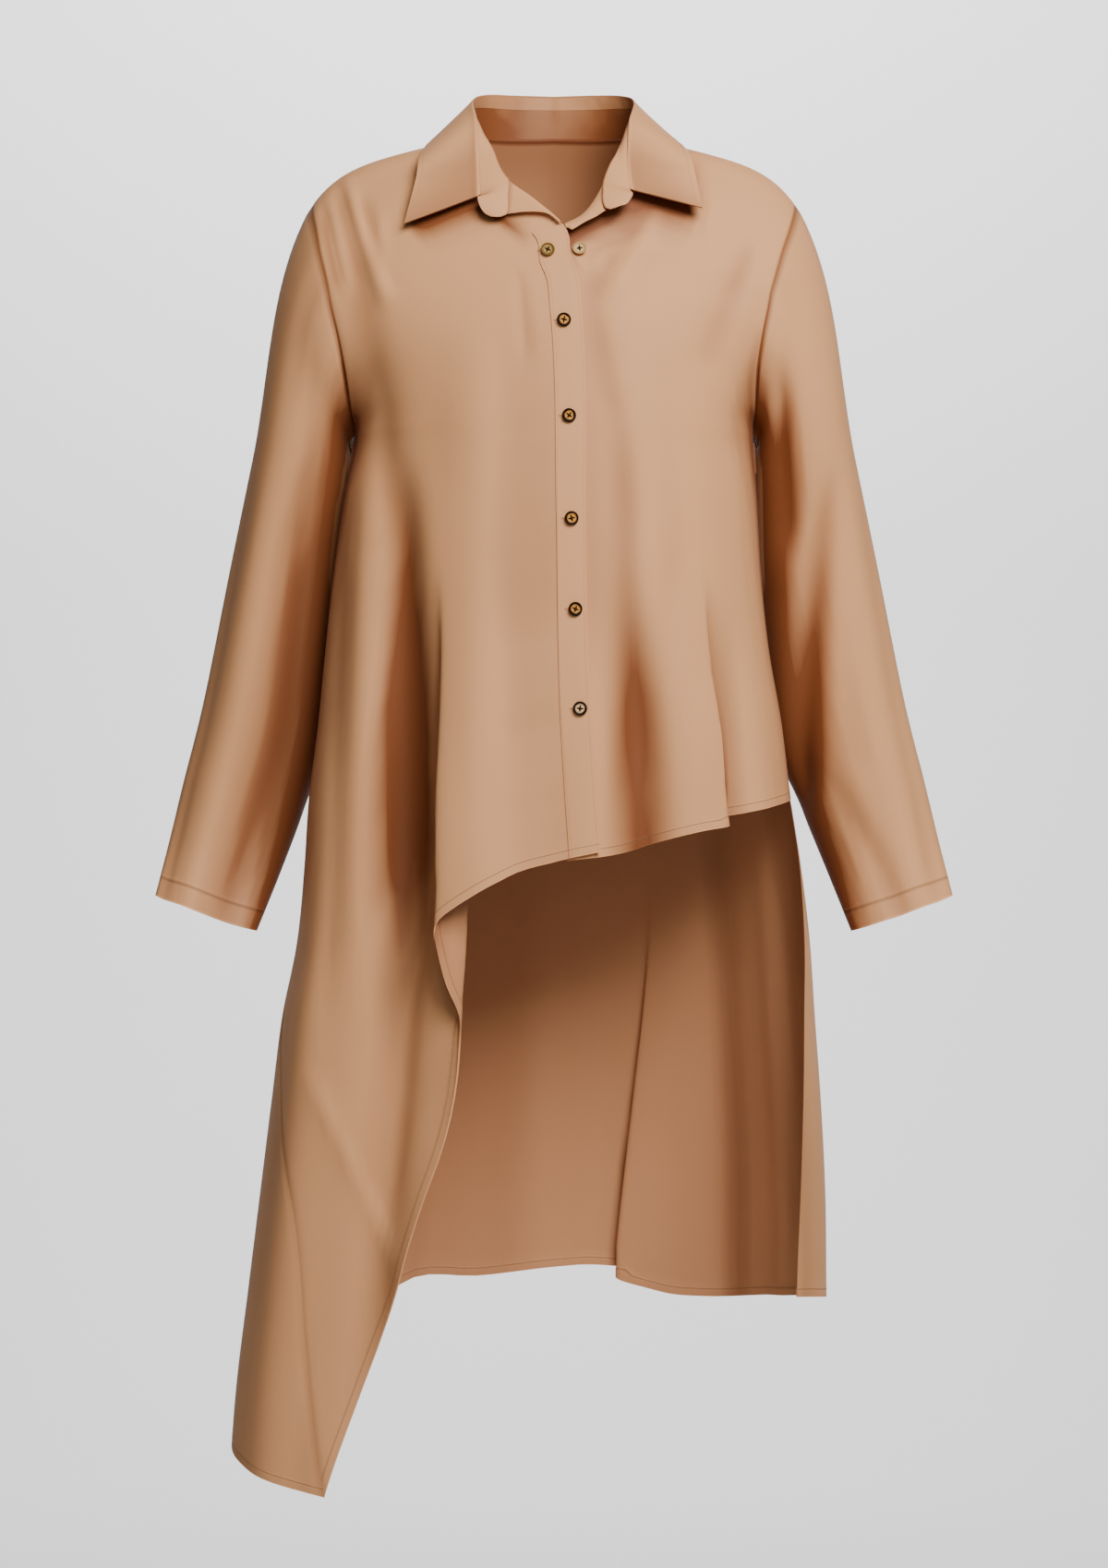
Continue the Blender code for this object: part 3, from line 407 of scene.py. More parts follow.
def ring(angle, z):
    """Point of the body below the armpit, by angle from the centre front, without folds."""
    angle = (np.asarray(angle, dtype=float) + 180) % 360 - 180
    row = row_of(z)
    out = np.zeros(np.broadcast(angle, row).shape + (3,))
    size = np.abs(angle)
    for side in (-1, 1):
        here = (angle < 0) if side < 0 else (angle >= 0)
        fore = front_base(side, np.minimum(size, 90) / 90, row)
        aft = back_base(side, np.minimum(180 - size, 90) / 90, row)
        part = np.where((size <= 90)[..., None], fore, aft)
        out = np.where(here[..., None], part, out)
    return out


def fold_shift(angle, z):
    """Angle moved round the body and height raised off it, by the pleats and the soft folds."""
    angle = np.asarray(angle, dtype=float)
    moved = np.zeros_like(angle)
    raised = np.zeros_like(angle)
    for top, foot, z0, z1, z2, z3, overlap, width, depth, reach in PLEATS:
        grow = ease((z0 - z) / (z0 - z1)) * (1 - ease((z2 - z) / (z2 - z3)))
        mid = top + (foot - top) * np.clip((z0 - z) / (z0 - z1), 0, 1)
        off = (angle - mid + 180) % 360 - 180
        q = off / width
        hook = q * np.exp((1 - q * q) / 2)
        moved = moved - overlap * grow * hook
        raised = raised + grow * depth / 2 * np.tanh(1.5 * q) * np.exp(-(off / reach) ** 2)
    for top, foot, z0, z1, height, width in WAVES:
        grow = ease((z0 - z) / (z0 - z1))
        mid = top + (foot - top) * np.clip((z0 - z) / (z0 - z1), 0, 1)
        off = (angle - mid + 180) % 360 - 180
        raised = raised + grow * height * np.exp(-(off / width) ** 2)
    return moved, raised


def body_point(angle, z):
    """Point of the body below the armpit, with its folds."""
    moved, raised = fold_shift(angle, z)
    at = angle + moved
    here = ring(at, z)
    run = ring(at + 0.5, z) - ring(at - 0.5, z)
    out = np.stack([run[..., 1], -run[..., 0], np.zeros_like(run[..., 0])], -1)
    out = out / np.linalg.norm(out, axis=-1, keepdims=True)
    return here + out * raised[..., None]


# ---------------------------------------------------------------- the panels' grids
def crowd(count, where, width, gain):
    """Shares from 0 to 1, closer together round one place."""
    fine = np.linspace(0, 1, 801)
    weight = 1 + gain * np.exp(-((fine - where) / width) ** 2)
    total = np.concatenate([[0], np.cumsum((weight[1:] + weight[:-1]) / 2)])
    return np.interp(np.linspace(0, 1, count + 1), total / total[-1], fine)


def share_of(side, x, row):
    """Share of the way to the armhole or side at which a row reaches x."""
    table = FRONTS[side]
    xl = smooth(table[:, 0], table[:, 1], row)
    xr = smooth(table[:, 0], table[:, 4], row)
    arc = np.radians(np.clip(smooth(table[:, 0], table[:, 7], row), 5, 90))
    return np.arcsin(np.clip(x * np.sin(arc) / (xr - xl), -0.9, 0.9)) / arc


def inner_edge(side, row, z):
    """How far past the centre the front's inner edge lies, as a share of its row."""
    x = by_height(RIGHT_EDGE, 1, z)
    reach = x if side < 0 else OVERLAP - x
    fade = ease((row - 4.0) / 1.0)
    return -share_of(side, reach, row) * fade, share_of(side, PLACKET_WIDTH - reach * fade, row)


def side_shares(side, cols):
    """Shares of the way from the placket to the side, closer together where the pleats run."""
    return crowd(cols, 0.27, 0.08, 3.5) if side < 0 else crowd(cols, 0.40, 0.10, 1.2)


def with_trim(first, second, tight):
    """Shares across a whole front: the placket's columns, then the rest."""
    return np.concatenate([np.linspace(first, second, COLS_TRIM + 1), second + (1 - second) * tight[1:]])


def front_grid(side, cols, lower):
    """Grid of one front: rows from the shoulder to the hem, columns from the inner edge to the side."""
    hem = HEM_RIGHT if side < 0 else HEM_LEFT
    seam = RIGHT_SEAM if side < 0 else LEFT_SEAM
    tight = side_shares(side, cols)
    grid = []
    for row in ROWS_UPPER:
        z_edge = float(smooth(FRONTS[side][:, 0], FRONTS[side][:, 3], row))
        first, second = inner_edge(side, float(row), z_edge)
        share = with_trim(first, second, tight)
        base = front_base(side, share, np.full_like(share, float(row)))
        _, raised = fold_shift(side * 90 * share, base[:, 2])
        base[:, 1] -= raised * ease((float(row) - 3) / 4)
        grid.append(base)
    count = len(grid[0])
    for j in range(1, lower + 1):
        f = j / lower
        z = np.full(count, ARMPIT_Z + f * (-600 - ARMPIT_Z))
        for _ in range(4):
            first, second = inner_edge(side, row_of(z), z)
            share = with_trim(first[0], second[0], tight)
            along = (share - first[0]) / (1 - first[0])
            foot = smooth(column(hem, 0), column(hem, 1), along)
            z = ARMPIT_Z + (foot - ARMPIT_Z) * f
        reach = np.where(share > 0, by_height(seam, 1, z), 90.0)
        grid.append(body_point(side * reach * share, z))
    grid = np.array(grid)
    return tuck_under(grid) if side > 0 else grid


def tuck_under(grid):
    """Moves the left front's overlap behind the right front."""
    normals = grid_normals(grid)
    along = lengths(grid, 1)
    fade = 1 - ease((along - OVERLAP) / UNDER_FADE)
    rows = np.concatenate([ROWS_UPPER, np.full(len(grid) - len(ROWS_UPPER), 9.5)])
    fade = fade * ease((rows[:, None] - 3.6) / 1.2)
    return grid - normals * (UNDER_STEP * fade)[..., None]


def half_back_shares(side, cols):
    """Shares of the way from the centre back to the armhole: the neckline, then the front's own columns."""
    first, second = inner_edge(side, 0.0, float(FRONTS[side][0, 3]))
    shoulder = with_trim(first, second, side_shares(side, cols))
    neck = np.linspace(0, 1, COLS_NECK + 1) if side < 0 else crowd(COLS_FOLD, 0.5, 0.25, 3.0)
    return np.concatenate([NECK_SHARE * neck, NECK_SHARE + (1 - NECK_SHARE) * shoulder[1:]])


def follow_fold(share, z, rest):
    """Shares across the back, moved at the left so that one column runs down its fold."""
    top, foot, z0, z1 = PLEATS[2][:4]
    fold = (180 - top - (foot - top) * np.clip((z0 - z) / (z0 - z1), 0, 1)) / rest
    home = NECK_SHARE / 2
    pull = np.clip(np.where(share < home, share / home, 1 - (share - home) / 0.6), 0, 1)
    return share + (fold - home) * pull * ease((ARMPIT_Z - z) / 200)


def back_grid(right, left):
    """Grid of the back: rows down, columns from the right armhole round to the left."""
    share_right = half_back_shares(-1, right)
    share_left = half_back_shares(1, left)
    grid = []
    for row in ROWS_UPPER:
        right_half = back_shape(-1, share_right, np.full_like(share_right, float(row)))[::-1]
        left_half = back_shape(1, share_left, np.full_like(share_left, float(row)))[1:]
        grid.append(np.concatenate([right_half, left_half]))
    side_share = np.concatenate([-share_right[::-1], share_left[1:]])
    across = (side_share + 1) / 2
    slit = (SLIT_Z - ARMPIT_Z) / (HEM_BACK[-1][1] - ARMPIT_Z)
    for j in range(1, ROWS_RIGHT + 1):
        even = j / ROWS_RIGHT
        if j <= ROWS_SIDE:
            stepped = slit * j / ROWS_SIDE
        else:
            stepped = slit + (1 - slit) * (j - ROWS_SIDE) / (ROWS_RIGHT - ROWS_SIDE)
        part = even + (stepped - even) * ease(across)
        z = np.full(len(across), -600.0)
        for _ in range(6):
            right_angle = by_height(RIGHT_SEAM, 1, z)
            left_angle = by_height(LEFT_SEAM, 1, z)
            rest = np.where(side_share < 0, 180 - right_angle, 180 - left_angle)
            turn = 180 + follow_fold(side_share, z, rest) * rest
            foot = smooth(column(HEM_BACK, 0), column(HEM_BACK, 1), turn)
            z = ARMPIT_Z + (foot - ARMPIT_Z) * part
        z[0] = ARMPIT_Z + (HEM_RIGHT[-1][1] - ARMPIT_Z) * even
        turn[0] = by_height(RIGHT_SEAM, 1, z[0])
        if j <= ROWS_SIDE:
            z[-1] = ARMPIT_Z + (SLIT_Z - ARMPIT_Z) * j / ROWS_SIDE
            turn[-1] = 360 - by_height(LEFT_SEAM, 1, z[-1])
        grid.append(body_point(-turn, z))
    return np.array(grid)


def arm_loop(side):
    """Armhole, from the shoulder down the front to the armpit and up the back."""
    ones = np.ones_like(ROWS_UPPER)
    fore = front_base(side, ones, ROWS_UPPER)
    aft = back_shape(side, ones, ROWS_UPPER)[::-1]
    return np.concatenate([fore, aft[1:-1]])


def sleeve_ring(side, turn, level):
    """Point of the sleeve below its first full ring."""
    keys = np.arange(len(SLEEVE), dtype=float)
    ox, oz, right, left, iz, y, deep = (smooth(keys, column(SLEEVE, k), level) for k in range(7))
    ix = right if side < 0 else left
    mid_x = (ox + ix) / 2
    mid_z = (oz + iz) / 2
    c = np.cos(turn)
    s = np.sin(turn)
    x = mid_x + (ox - mid_x) * c
    z = mid_z + (oz - mid_z) * c
    return np.stack([side * x, y - deep * s, z + 0 * x], -1)


def sleeve_turns():
    """Angle of each of a sleeve's columns round the arm: 0 outside, 90 degrees in front."""
    rows = ROWS_UPPER / 9
    return np.concatenate([np.pi * rows, (2 * np.pi - np.pi * rows[::-1])[1:-1]])


def sleeve_levels():
    """Level of each of a sleeve's rows: -1 at the head, 0 at the first full ring."""
    cap = np.arange(RINGS_CAP) / RINGS_CAP - 1
    return np.concatenate([cap, (len(SLEEVE) - 1) * np.linspace(0, 1, RINGS_ARM + 1)])


def sleeve_grid(side):
    """Grid of a sleeve: rows from the armhole to the cuff, columns round the arm."""
    loop = arm_loop(side)
    turn = sleeve_turns()
    first = sleeve_ring(side, turn, np.zeros_like(turn))
    away = unit(sleeve_ring(side, turn, np.full_like(turn, 0.1)) - first)
    length = np.linalg.norm(first - loop, axis=1, keepdims=True)
    steep = np.radians(52 + 8 * np.cos(turn))
    leave = unit(np.stack([side * np.cos(steep), 0.25 * np.sin(turn) * np.cos(steep), -np.sin(steep)], -1))
    grid = []
    for level in sleeve_levels():
        if level < 0:
            t = level + 1
            t2 = t * t
            t3 = t2 * t
            head = (2 * t3 - 3 * t2 + 1) * loop + (t3 - 2 * t2 + t) * leave * length
            grid.append(head + (3 * t2 - 2 * t3) * first + (t3 - t2) * away * length)
        else:
            grid.append(sleeve_ring(side, turn, np.full_like(turn, level)))
    return np.array(grid)


# ---------------------------------------------------------------- measuring grids
def grid_normals(grid, closed=False):
    """Normals of a grid; its rows run down and its columns run left to right as seen."""
    down = np.gradient(grid, axis=0)
    if closed:
        across = (np.roll(grid, -1, axis=1) - np.roll(grid, 1, axis=1)) / 2
    else:
        across = np.gradient(grid, axis=1)
    return unit(np.cross(down, across))


def lengths(grid, axis):
    """Distance of every point from its grid's first border, along the cloth (mm)."""
    steps = np.linalg.norm(np.diff(grid, axis=axis), axis=2)
    first = np.zeros_like(np.take(steps, [0], axis=axis))
    return np.concatenate([first, np.cumsum(steps, axis=axis)], axis=axis)


def merged_tree(grids):
    """Search tree over the faces of several grids."""
    points = []
    quads = []
    for grid in grids:
        rows, cols = grid.shape[:2]
        i, j = np.meshgrid(np.arange(rows - 1), np.arange(cols - 1), indexing="ij")
        corner = len(points) + i * cols + j
        around = [corner, corner + 1, corner + cols + 1, corner + cols]
        quads += np.stack(around, -1).reshape(-1, 4).tolist()
        points += grid.reshape(-1, 3).tolist()
    return BVHTree.FromPolygons(points, quads)


def wide(grid):
    """A closed grid with its first column repeated at the end."""
    return np.concatenate([grid, grid[:, :1]], axis=1)


def from_line(points, line):
    """Place along a line and distance from it, for every point (mm)."""
    flat = points.reshape(-1, 3)
    run = np.diff(line, axis=0)
    size = np.linalg.norm(run, axis=1)
    begun = np.concatenate([[0], np.cumsum(size)[:-1]])
    along = np.empty(len(flat))
    away = np.empty(len(flat))
    for start in range(0, len(flat), 4000):
        here = flat[start:start + 4000]
        gap = here[:, None] - line[None, :-1]
        t = np.clip((gap * run).sum(-1) / size ** 2, 0, 1)
        off = np.linalg.norm(gap - t[..., None] * run, axis=-1)
        best = off.argmin(1)
        pick = np.arange(len(here))
        along[start:start + 4000] = begun[best] + t[pick, best] * size[best]
        away[start:start + 4000] = off[pick, best]
    return along.reshape(points.shape[:-1]), away.reshape(points.shape[:-1])


# ---------------------------------------------------------------- small folds on the panels
def crease_height(x, z, table):
    """Height that the lesser folds add at a place seen from the front."""
    total = np.zeros_like(x)
    for x0, z0, x1, z1, height, wide0, wide1 in table:
        run = np.array([x1 - x0, z1 - z0], dtype=float)
        size = np.hypot(*run)
        t = ((x - x0) * run[0] + (z - z0) * run[1]) / size ** 2
        off = ((x - x0) * run[1] - (z - z0) * run[0]) / size
        reach = wide0 + (wide1 - wide0) * np.clip(t, 0, 1)
        total += height * np.exp(-(off / reach) ** 2) * ease((t + 0.15) / 0.35) * ease((1.15 - t) / 0.35)
    return total


def pressed_height(x, z, table):
    """Height of the sharp pressed lines at a place seen from the front."""
    total = np.zeros_like(x)
    for x0, z0, x1, z1, height, reach in table:
        run = np.array([x1 - x0, z1 - z0], dtype=float)
        size = np.hypot(*run)
        t = ((x - x0) * run[0] + (z - z0) * run[1]) / size ** 2
        off = np.abs((x - x0) * run[1] - (z - z0) * run[0]) / size
        total += height * np.exp(-off / reach) * ease((t + 0.1) / 0.3) * ease((1.1 - t) / 0.3)
    return total


def sleeve_height(side, turn, level):
    """Height that the folds add on a sleeve, by angle round the arm and level."""
    degrees = np.degrees(turn)
    total = np.zeros(np.broadcast(degrees, level).shape)
    for which, top, foot, start, end, height, reach in SLEEVE_FOLDS:
        if which == side:
            t = (level - start) / (end - start)
            mid = top + (foot - top) * np.clip(t, 0, 1)
            off = (degrees - mid + 180) % 360 - 180
            total += height * np.exp(-(off / reach) ** 2) * ease((t + 0.1) / 0.3) * ease((1.1 - t) / 0.3)
    return total


def seam_fade(grid, name):
    """How fully creases show: nothing at a seam, all of it away from one."""
    down = lengths(grid, 0)
    across = lengths(grid, 1)
    fade = ease(down / CREASE_FADE) * ease((across[:, -1:] - across) / CREASE_FADE)
    if name == "back":
        return fade * ease(across / CREASE_FADE)
    neck = np.arange(len(grid))[:, None] < TOP_ROW
    return np.where(neck, fade * ease(across / CREASE_FADE), fade)


def face_out(name, grid, normals):
    """Normals turned so that they point off the wearer."""
    if name.startswith("sleeve"):
        mid = np.broadcast_to(grid.mean(axis=1, keepdims=True), grid.shape)
        same = np.sum(normals * (grid - mid)) > 0
    elif name == "back":
        same = np.sum(normals[..., 1]) > 0
    else:
        same = np.sum(normals[..., 1]) < 0
    return normals if same else -normals


def join_borders(panels, normals):
    """Gives the panels one shared normal wherever their borders meet, and sinks the seam a little."""
    spots = []
    for name, grid in panels.items():
        rows, cols = grid.shape[:2]
        closed = name.startswith("sleeve")
        for i in range(rows):
            for j in range(cols):
                if i in (0, rows - 1) or (not closed and j in (0, cols - 1)):
                    spots.append((name, i, j))
    tree = KDTree(len(spots))
    for count, (name, i, j) in enumerate(spots):
        tree.insert(panels[name][i, j], count)
    tree.balance()
    joined = {}
    for count, (name, i, j) in enumerate(spots):
        near = [spots[found[1]] for found in tree.find_range(panels[name][i, j], BORDER_GAP)]
        if len({other[0] for other in near}) > 1:
            total = sum(normals[who][a, b] for who, a, b in near)
            if np.linalg.norm(total) > 0.3:
                joined[(name, i, j)] = total / np.linalg.norm(total)
    MADE["seams"] = {
        "back": [(0, j) for j in range(panels["back"].shape[1])],
        "collar_stand": [(0, j) for j in range(2 * (COLLAR_STEPS + TAB_STEPS) + 1)],
    }
    for (name, i, j), normal in joined.items():
        normals[name][i, j] = normal
        panels[name][i, j] -= normal * SEAM_DIP
        MADE["seams"].setdefault(name, []).append((i, j))
    return panels, normals


def make_panels():
    """The five large panels with all their folds: grids and outward normals by name."""
    panels = {
        "front_right": front_grid(-1, COLS_RIGHT, ROWS_RIGHT),
        "front_left": front_grid(1, COLS_LEFT, ROWS_SIDE),
        "back": back_grid(COLS_RIGHT, COLS_LEFT),
        "sleeve_right": sleeve_grid(-1),
        "sleeve_left": sleeve_grid(1),
    }
    normals = {}
    for name, grid in panels.items():
        closed = name.startswith("sleeve")
        out = face_out(name, grid, grid_normals(grid, closed))
        if closed:
            side = -1 if name.endswith("right") else 1
            level = sleeve_levels()[:, None]
            raised = sleeve_height(side, sleeve_turns()[None, :], level) * ease((level + 1) / 0.5)
        elif name == "back":
            raised = np.zeros(grid.shape[:2])
        else:
            raised = crease_height(grid[..., 0], grid[..., 2], CREASES)
            raised = (raised + pressed_height(grid[..., 0], grid[..., 2], PRESSED)) * seam_fade(grid, name)
        panels[name] = grid + out * raised[..., None]
        normals[name] = face_out(name, panels[name], grid_normals(panels[name], closed))
    return join_borders(panels, normals)


def garment():
    """The panels, worked out once for all the operators."""
    if "panels" not in MADE:
        MADE["panels"], MADE["normals"] = make_panels()
    return MADE["panels"], MADE["normals"]


# ---------------------------------------------------------------- the collar's grids
def neck_seam(side, station):
    """Neck seam by collar station: 0 at the centre back, 3 at the shoulder seam, 6 at the stand's end."""
    station = np.asarray(station, dtype=float)
    aft = back_top(side, NECK_SHARE * np.clip(station / 3, 0, 1))
    row = smooth(np.array([3.0, 4.0, 5.0, 6.0]), np.array([0.0, 2.0, 3.0, 4.0]), np.maximum(station, 3.0))
    fore = front_base(side, np.zeros_like(row), np.clip(row, 0, 4))
    return np.where((station <= 3)[..., None], aft, fore)


def collar_lines(side, station):
    """Lifted neck seam, fold, outer edge and the fold's own outward way, by collar station."""
    rows = COLLAR_RIGHT if side < 0 else COLLAR_LEFT
    keys = np.arange(len(rows), dtype=float)
    fx, fy, fz, ex, ey, ez, stand = (smooth(keys, column(rows, k), station) for k in range(7))
    fold = np.stack([side * fx, fy, fz], -1)
    edge = np.stack([side * ex, ey, ez], -1)
    seam = neck_seam(side, station)
    crest = unit(unit(fold - seam) + unit(fold - edge))
    front = ease((station - 3.0) / 1.5)
    lift = crest * (1 - front)[..., None] + np.array([0.0, -0.8, 0.6]) * front[..., None]
    seam = seam + lift * (0.2 + 3.15 * front)[..., None]
    return seam, fold, edge, crest, stand


def stand_grid():
    """Collar stand with its two turned-out ends: columns along the neck, rows up from the seam."""
    halves = []
    for side in (-1, 1):
        station = np.linspace(0, 6, COLLAR_STEPS + 1)
        seam, fold, _, crest, stand = collar_lines(side, station)
        top = seam + (fold - seam) * stand[:, None]
        tab = TAB_RIGHT if side < 0 else TAB_LEFT
        before = COLLAR_STEPS - COLLAR_STEPS // 11
        keys = np.arange(len(tab) + 2, dtype=float)
        more = np.linspace(1, len(tab) + 1, TAB_STEPS + 1)[1:]
        ends = []
        for k in range(3):
            sign = side if k == 0 else 1
            low = np.concatenate([[seam[before, k], seam[-1, k]], sign * column(tab, k)])
            high = np.concatenate([[top[before, k], top[-1, k]], sign * column(tab, k + 3)])
            ends.append((smooth(keys, low, more), smooth(keys, high, more)))
        seam = np.concatenate([seam, np.stack([e[0] for e in ends], -1)])
        top = np.concatenate([top, np.stack([e[1] for e in ends], -1)])
        bulge = np.concatenate([crest, np.repeat(crest[-1:], len(seam) - len(crest), axis=0)])
        rows = [seam + (top - seam) * t + bulge * (1.2 * np.sin(np.pi * t)) for t in np.linspace(0, 1, 15)]
        halves.append(np.array(rows))
    right, left = halves
    return np.concatenate([right[:, ::-1], left[:, 1:]], axis=1)


def leaf_grid():
    """Collar leaf: up from the stand, over the fold and down to its outer edge."""
    halves = []
    for side in (-1, 1):
        station = np.linspace(0, 6, COLLAR_STEPS + 1)
        seam, fold, edge, crest, stand = collar_lines(side, station)
        rise = unit(seam - fold)
        fall = unit(edge - fold)
        start = seam + (fold - seam) * stand[:, None] - rise * 0.2
        near = fold + rise * 3.5
        far = fold + fall * 4.5
        peak = fold + crest * 1.5
        near = np.where((np.sum((near - start) * rise, -1) > 0)[:, None], start - rise * 0.8, near)
        crumple = np.sin(9.5 * station + 1.8 * np.sin(6 * station))
        crumple = crumple * ease(station / 0.4) * ease((3.0 - station) / 0.8) * (side > 0)
        wavy = np.sin(7 * station) * ease((3 - station) / 2)
        pucker = crest * (0.75 * crumple + 0.12 * wavy)[:, None]
        rows = [start + (near - start) * t + pucker * np.sin(np.pi * t) for t in np.linspace(0, 1, 7)[:-1]]
        for t in np.linspace(0, 1, 9)[:-1]:
            rows.append((1 - t) ** 2 * near + 2 * t * (1 - t) * peak + t * t * far)
        for t in 1 - np.linspace(1, 0, 19) ** 1.5:
            rows.append(far + (edge - far) * t + crest * (1.5 * np.sin(np.pi * t)))
        halves.append(np.array(rows))
    right, left = halves
    return np.concatenate([right[:, ::-1], left[:, 1:]], axis=1)


def facing_grid(side):
    """Front end of the neckline, turned outward: rows from its folded edge to its lower edge."""
    low = FACING_RIGHT if side < 0 else FACING_LEFT
    keys = np.linspace(0, 1, len(low))
    at = np.linspace(-0.14, 1, 42)
    edge = np.stack([smooth(keys, column(low, k), at) for k in range(3)], -1)
    row = 4.1 + 0.84 * at if side < 0 else 4.1 + 0.56 * at
    start, _ = inner_edge(side, row, smooth(FRONTS[side][:, 0], FRONTS[side][:, 3], row))
    fold = front_base(side, start, row) + np.array([0.0, -2.2, 0.6])
    belly = np.array([0.0, -1.4, 0.3])
    edge = edge + (fold - edge) * (0.5 * ease((at - 0.85) / 0.15))[:, None]
    under = np.array([0.0, 1.6, 0.0]) * ease(-at / 0.1)[:, None]
    rows = [fold + (edge - fold) * t + belly * np.sin(np.pi * t) + under for t in np.linspace(0, 1, 11)]
    return np.array(rows)


# ---------------------------------------------------------------- meshes
def shell(outer, inner, closed):
    """Closed mesh between two grids: points, four-sided faces and each corner's place in the maps."""
    rows, cols = outer.shape[:2]
    span = cols + 1 if closed else cols
    back = rows * cols
    i, j = np.meshgrid(np.arange(rows - 1), np.arange(span - 1), indexing="ij")
    k = (j + 1) % cols
    skin = np.stack([i * cols + j, (i + 1) * cols + j, (i + 1) * cols + k, i * cols + k], -1)
    spot = i * span + j
    place = np.stack([spot, spot + span, spot + span + 1, spot + 1], -1).reshape(-1, 4)
    skin = skin.reshape(-1, 4)
    rim = []
    for j in range(span - 1):
        k = (j + 1) % cols
        rim.append((j, k, j, j + 1))
        low = (rows - 1) * cols
        mapped = (rows - 1) * span
        rim.append((low + k, low + j, mapped + j + 1, mapped + j))
    if not closed:
        for i in range(rows - 1):
            here = i * cols
            rim.append((here + cols, here, here + cols, here))
            rim.append((here + cols - 1, here + 2 * cols - 1, here + cols - 1, here + 2 * cols - 1))
    a, b, p, q = np.array(rim).T
    wall = np.stack([a, b, back + b, back + a], -1)
    faces = np.concatenate([skin, back + skin[:, ::-1], wall])
    places = np.concatenate([place, place[:, ::-1], np.stack([p, q, q, p], -1)])
    points = np.concatenate([outer.reshape(-1, 3), inner.reshape(-1, 3)])
    corner = [points[faces[:, n]] for n in range(4)]
    halves = np.cross(corner[1], corner[2]) + np.cross(corner[2], corner[3])
    volume = (corner[0] * halves).sum()
    if volume < 0:
        faces = faces[:, ::-1]
        places = places[:, ::-1]
    return points, faces, places


def mesh_object(name, points, faces, places=None, maps=None):
    """Object from points in millimetres; maps are UV layers by name, one value for each grid point."""
    mesh = bpy.data.meshes.new(name)
    mesh.vertices.add(len(points))
    mesh.vertices.foreach_set("co", (points * MM).astype(np.float32).ravel())
    mesh.loops.add(faces.size)
    mesh.loops.foreach_set("vertex_index", faces.astype(np.int32).ravel())
    mesh.polygons.add(len(faces))
    mesh.polygons.foreach_set("loop_start", np.arange(0, faces.size, faces.shape[1], dtype=np.int32))
    for layer, values in (maps or {}).items():
        made = mesh.uv_layers.new(name=layer)
        corners = values.reshape(-1, 2)[places.ravel()]
        # The fold layer holds painted shade: each corner takes its own face's value, outer or inner, and a flag
        # that is 1 on the inner face
        if layer == "fold":
            inside = (faces >= len(points) // 2).ravel()
            corners = np.stack([np.where(inside, corners[:, 1], corners[:, 0]), inside], -1)
        made.data.foreach_set("uv", corners.astype(np.float32).ravel())
    mesh.update(calc_edges=True)
    mesh.validate()
    mesh.shade_smooth()
    mesh.set_sharp_from_angle(angle=math.radians(55))
    item = bpy.data.objects.new(name, mesh)
    bpy.context.scene.collection.objects.link(item)
    return item


def cut_map(grid, closed=False):
    """Weave map: millimetres across and down the cloth."""
    flat = wide(grid) if closed else grid
    return np.stack([lengths(flat, 1), lengths(flat, 0)], -1)


def sunken(grid, normals, reach):
    """How far each point lies below the cloth beside it in its row, against the row's middle (mm)."""
    depth = np.empty(grid.shape[:2])
    for row, (points, normal, at) in enumerate(zip(grid, normals, lengths(grid, 1))):
        weight = np.exp(-((at[:, None] - at[None]) / reach) ** 2) * np.gradient(at)[None]
        mean = weight @ points / weight.sum(1, keepdims=True)
        depth[row] = np.sum((mean - points) * normal, axis=1)
    return depth - np.median(depth, axis=1, keepdims=True)


